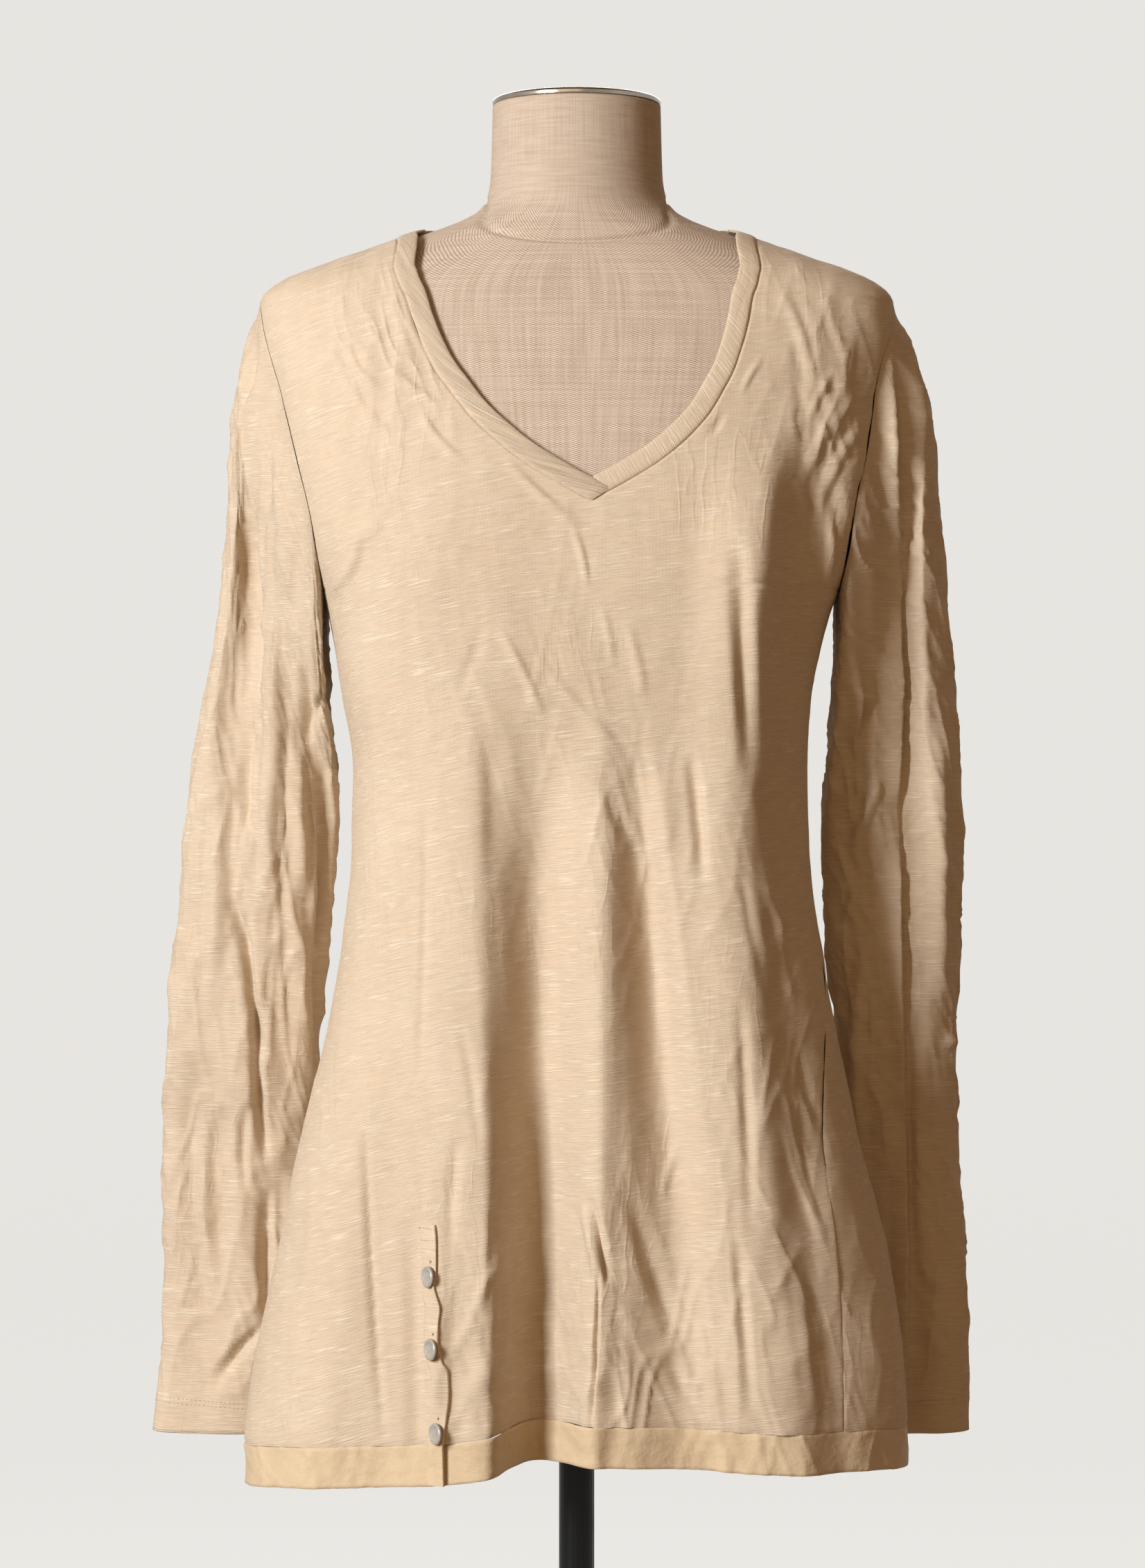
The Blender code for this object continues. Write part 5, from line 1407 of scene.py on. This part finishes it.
def make_buttons(pearl, thread):
    """Rimmed buttons that tilt to the wearer's right with the strip, sewn on with thread."""
    for number, z in enumerate(BUTTON_HEIGHTS, 1):
        x = float(SLIT_X(z)) - BUTTON_IN * PLACKET_SEEN
        grid_x = x + np.array([[-0.001, 0.0, 0.001]] * 3)
        grid_z = z + np.array([[0.001] * 3, [0.0] * 3, [-0.001] * 3])
        points, normal = on_front(grid_x, grid_z)
        way = Vector(normal[1, 1]) + Vector((-BUTTON_TILT, 0.0, 0.0))
        turn = way.to_track_quat("Z", "Y")
        seat = Vector(points[1, 1]) + Vector(normal[1, 1]) * BUTTON_SEAT
        button = turned_piece(f"button_{number}_pearl", BUTTON_PROFILE, pearl,
                              f"button_{number}", 40)
        button.matrix_world = turn.to_matrix().to_4x4()
        button.location = seat
        ends = [seat + turn @ Vector((side * BUTTON_HOLE, 0.0, BUTTON_FACE)) for side in (-1, 1)]
        tack = [points[1, 1] + offset for offset in BUTTON_TACK]
        stitches(f"button_{number}_thread", [np.array([list(end) for end in ends]),
                                             np.array(tack)], thread, TACK_RADIUS)


def stitches(name, stitch_ends, material, radius=STITCH_RADIUS):
    """Stitches as slim spindles between pairs of ends."""
    corners, faces = [], []
    for first, last in stitch_ends:
        way = unit(last - first)
        side = unit(np.cross(way, (0.31, 0.27, 0.91)))
        other = np.cross(way, side)
        start = len(corners)
        middle = (first + last) / 2.0
        corners += [first, last]
        corners += [middle + radius * turn for turn in (side, other, -side, -other)]
        for i in range(4):
            a, b = start + 2 + i, start + 2 + (i + 1) % 4
            faces += [(start, b, a), (start + 1, a, b)]
    data = bpy.data.meshes.new(name)
    data.from_pydata([tuple(map(float, corner)) for corner in corners], [], faces)
    data.shade_smooth()
    return new_piece(name, data, material)


def stitch_row(path, pitch=STITCH_PITCH):
    """Pairs of ends of the stitches along a line of points."""
    run = np.concatenate([[0.0], np.cumsum(np.linalg.norm(np.diff(path, axis=0), axis=-1))])
    starts = np.arange(0.0, run[-1] - pitch, pitch)
    ends = starts + STITCH_SHOWS * pitch

    def at(where):
        return np.stack([np.interp(where, run, path[:, i]) for i in range(3)], axis=-1)

    return list(zip(at(starts), at(ends)))


def rows_at(points, heights, lift):
    """Lines round a grid's rows that are nearest to some heights, just over the cloth."""
    normal = grid_normals(points, True)
    lines = []
    for height in heights:
        row = int(np.argmin(np.abs(points[:, :, 2].mean(axis=1) - height)))
        line = points[row] + normal[row] * lift
        lines.append(np.concatenate([line, line[:1]]))
    return lines


# ---- form and stand ----

def make_form(material):
    """The linen torso and neck with its seam at the neck's base."""
    levels = np.concatenate([np.linspace(*ends)[:-1] for ends in FORM_ROWS])
    levels = np.append(levels, FORM_ROWS[-1][1])
    turn = np.radians(np.linspace(180.0, 540.0, FORM_COLUMNS + 1)[None, :-1])
    level = levels[:, None]
    depth = rounded_depth(np.sin(turn), FORM["power"](level))
    reach = np.where(np.cos(turn) >= 0.0, -FORM["front"](level), FORM["back"](level))
    x = FORM["half"](level) * np.sin(turn)
    points = np.stack([x, reach * depth, np.broadcast_to(level, x.shape)], axis=-1)
    normal = grid_normals(points, True)
    seam_z = FORM_SEAM_Z + FORM_SEAM_RISE * np.sin(turn) ** 2
    groove = -FORM_SEAM_DEPTH * np.exp(-((level - seam_z) / FORM_SEAM_HALF) ** 2)
    points = points + normal * groove[..., None]
    around = np.broadcast_to(turn * WEAVE_RADIUS, x.shape)
    down = np.broadcast_to(run_length(points, 0)[:, [FORM_COLUMNS // 2]], around.shape)
    piece = cloth_piece("form", [(points, np.stack([around, -down], axis=-1))], material,
                        closed=True)
    mesh = bmesh.new()
    mesh.from_mesh(piece.data)
    mesh.verts.ensure_lookup_table()
    bmesh.ops.holes_fill(mesh, edges=[edge for edge in mesh.edges if edge.is_boundary], sides=0)
    mesh.to_mesh(piece.data)
    mesh.free()
    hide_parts("form_body")
    return piece


def make_ring(material):
    """The dark cap ring on the neck, with rounded edges."""
    top = NECK_TOP_Z + RING_HEIGHT
    turned_piece("neck_ring", [
        (0.0, top),
        (RING_RADIUS - 0.0060, top),
        (RING_RADIUS - 0.0014, top - 0.0001),
        (RING_RADIUS - 0.0004, top - 0.0007),
        (RING_RADIUS, top - 0.0016),
        (RING_RADIUS - 0.0003, NECK_TOP_Z + 0.0004),
        (RING_RADIUS - 0.0010, NECK_TOP_Z),
        (0.0, NECK_TOP_Z),
    ], material, "form_neck_ring", 128)


# ---- studio ----

# Each light is seen from the object at an azimuth, which is 0 at the camera and grows to the
# viewer's right, and an elevation. It points at a height on the pole's axis
LIGHTS = table("Light", "name azimuth elevation distance size power colour height", [
    ("key", -41.0, 14.0, 3.0, (0.7, 1.3), 121.0, (0.95, 0.985, 1.03), 1.12),
    ("front_fill", -8.0, 20.0, 3.4, (1.6, 2.0), 13.0, (1.0, 0.75, 0.47), 1.1),
    ("back_fill", 180.0, 32.0, 3.4, (2.2, 1.6), 46.0, (1.0, 0.96, 0.90), 1.1),
])
PAPER = (0.16, 0.16, 0.16)
PAPER_GLOW = (0.758, 0.753, 0.733)
SKY = (1.0, 0.57, 0.25, 1.0)
SKY_STRENGTH = 0.21

# Radius and height of the floor and the wall that it curves up to
BOWL_PROFILE = [(0.0, 0.0), (7.2, 0.0), (8.2, 0.2), (8.9, 0.8), (9.2, 1.8), (9.2, 9.0)]

CAMERA_PLACE = (-0.0024, -2.4, 1.1254)
CAMERA_SENSOR = 36.0
CAMERA_LENS = 95.5


def area_light(light):
    """A soft rectangular light that the camera doesn't see."""
    data = bpy.data.lights.new(light.name, "AREA")
    data.shape = "RECTANGLE"
    data.size, data.size_y = light.size
    data.energy = light.power
    data.color = light.colour
    lamp = bpy.data.objects.new(light.name, data)
    bpy.context.scene.collection.objects.link(lamp)
    turn, rise = math.radians(light.azimuth), math.radians(light.elevation)
    way = Vector((math.sin(turn) * math.cos(rise), -math.cos(turn) * math.cos(rise),
                  math.sin(rise)))
    lamp.location = Vector((0.0, 0.0, light.height)) + way * light.distance
    lamp.rotation_euler = (-way).to_track_quat("-Z", "Y").to_euler()
    lamp.visible_camera = False


def make_studio():
    """Pale floor that curves up all round, soft light from the viewer's left."""
    mesh = bmesh.new()
    spin_profile(mesh, BOWL_PROFILE, 96)
    data = bpy.data.meshes.new("studio_floor")
    mesh.to_mesh(data)
    mesh.free()
    data.shade_smooth()
    floor = bpy.data.objects.new("studio_floor", data)
    bpy.context.scene.collection.objects.link(floor)
    data.materials.append(plain_material("studio_paper", PAPER, PAPER_GLOW))
    floor.visible_diffuse = False
    for light in LIGHTS:
        area_light(light)
    world = bpy.data.worlds.new("studio")
    bpy.context.scene.world = world
    world.use_nodes = True
    background = world.node_tree.nodes["Background"]
    background.inputs["Color"].default_value = SKY
    background.inputs["Strength"].default_value = SKY_STRENGTH


def make_camera():
    data = bpy.data.cameras.new("camera")
    data.sensor_fit = "VERTICAL"
    data.sensor_height = CAMERA_SENSOR
    data.lens = CAMERA_LENS
    camera = bpy.data.objects.new("camera", data)
    bpy.context.scene.collection.objects.link(camera)
    camera.location = CAMERA_PLACE
    camera.rotation_euler = (math.radians(90.0), 0.0, 0.0)
    bpy.context.scene.camera = camera


bpy.context.scene.view_settings.view_transform = "Standard"
make_camera()
make_studio()
JERSEY = jersey_material("slub_jersey")
STRIP = jersey_material("placket_jersey")
WOVEN = woven_material()
LINEN = linen_material()
PEARL = pearl_material()
THREAD = thread_material()
STEEL = metal_material("dark_steel", (0.28, 0.245, 0.205), (0.41, 0.365, 0.31), 0.22, 1.0, 0.5)
PAINT = metal_material("black_paint", (0.003, 0.003, 0.003), (0.005, 0.005, 0.005), 0.40, 0.0, 0.18)

front = make_front(JERSEY)
back = make_back(JERSEY)
bands = make_hem_bands(WOVEN)
sleeves = {name: make_sleeve(name, JERSEY) for name in SLEEVES}
neckband = make_neckband(JERSEY)
make_form(LINEN)
make_ring(STEEL)
for node in ("form_socket", "pole", "pole_hub", "base_plate"):
    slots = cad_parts[node].material_slots
    slots[0].material = PAINT
placket = make_placket(STRIP, WOVEN)
placket_sewn = make_placket_stitches(THREAD)
make_buttons(PEARL, THREAD)
for name, (piece, points) in sleeves.items():
    rows = [end for line in rows_at(points, CUFF_STITCHES, 0.0002) for end in stitch_row(line)]
    cuff = stitches(name + "_cuff_stitches", rows, THREAD)
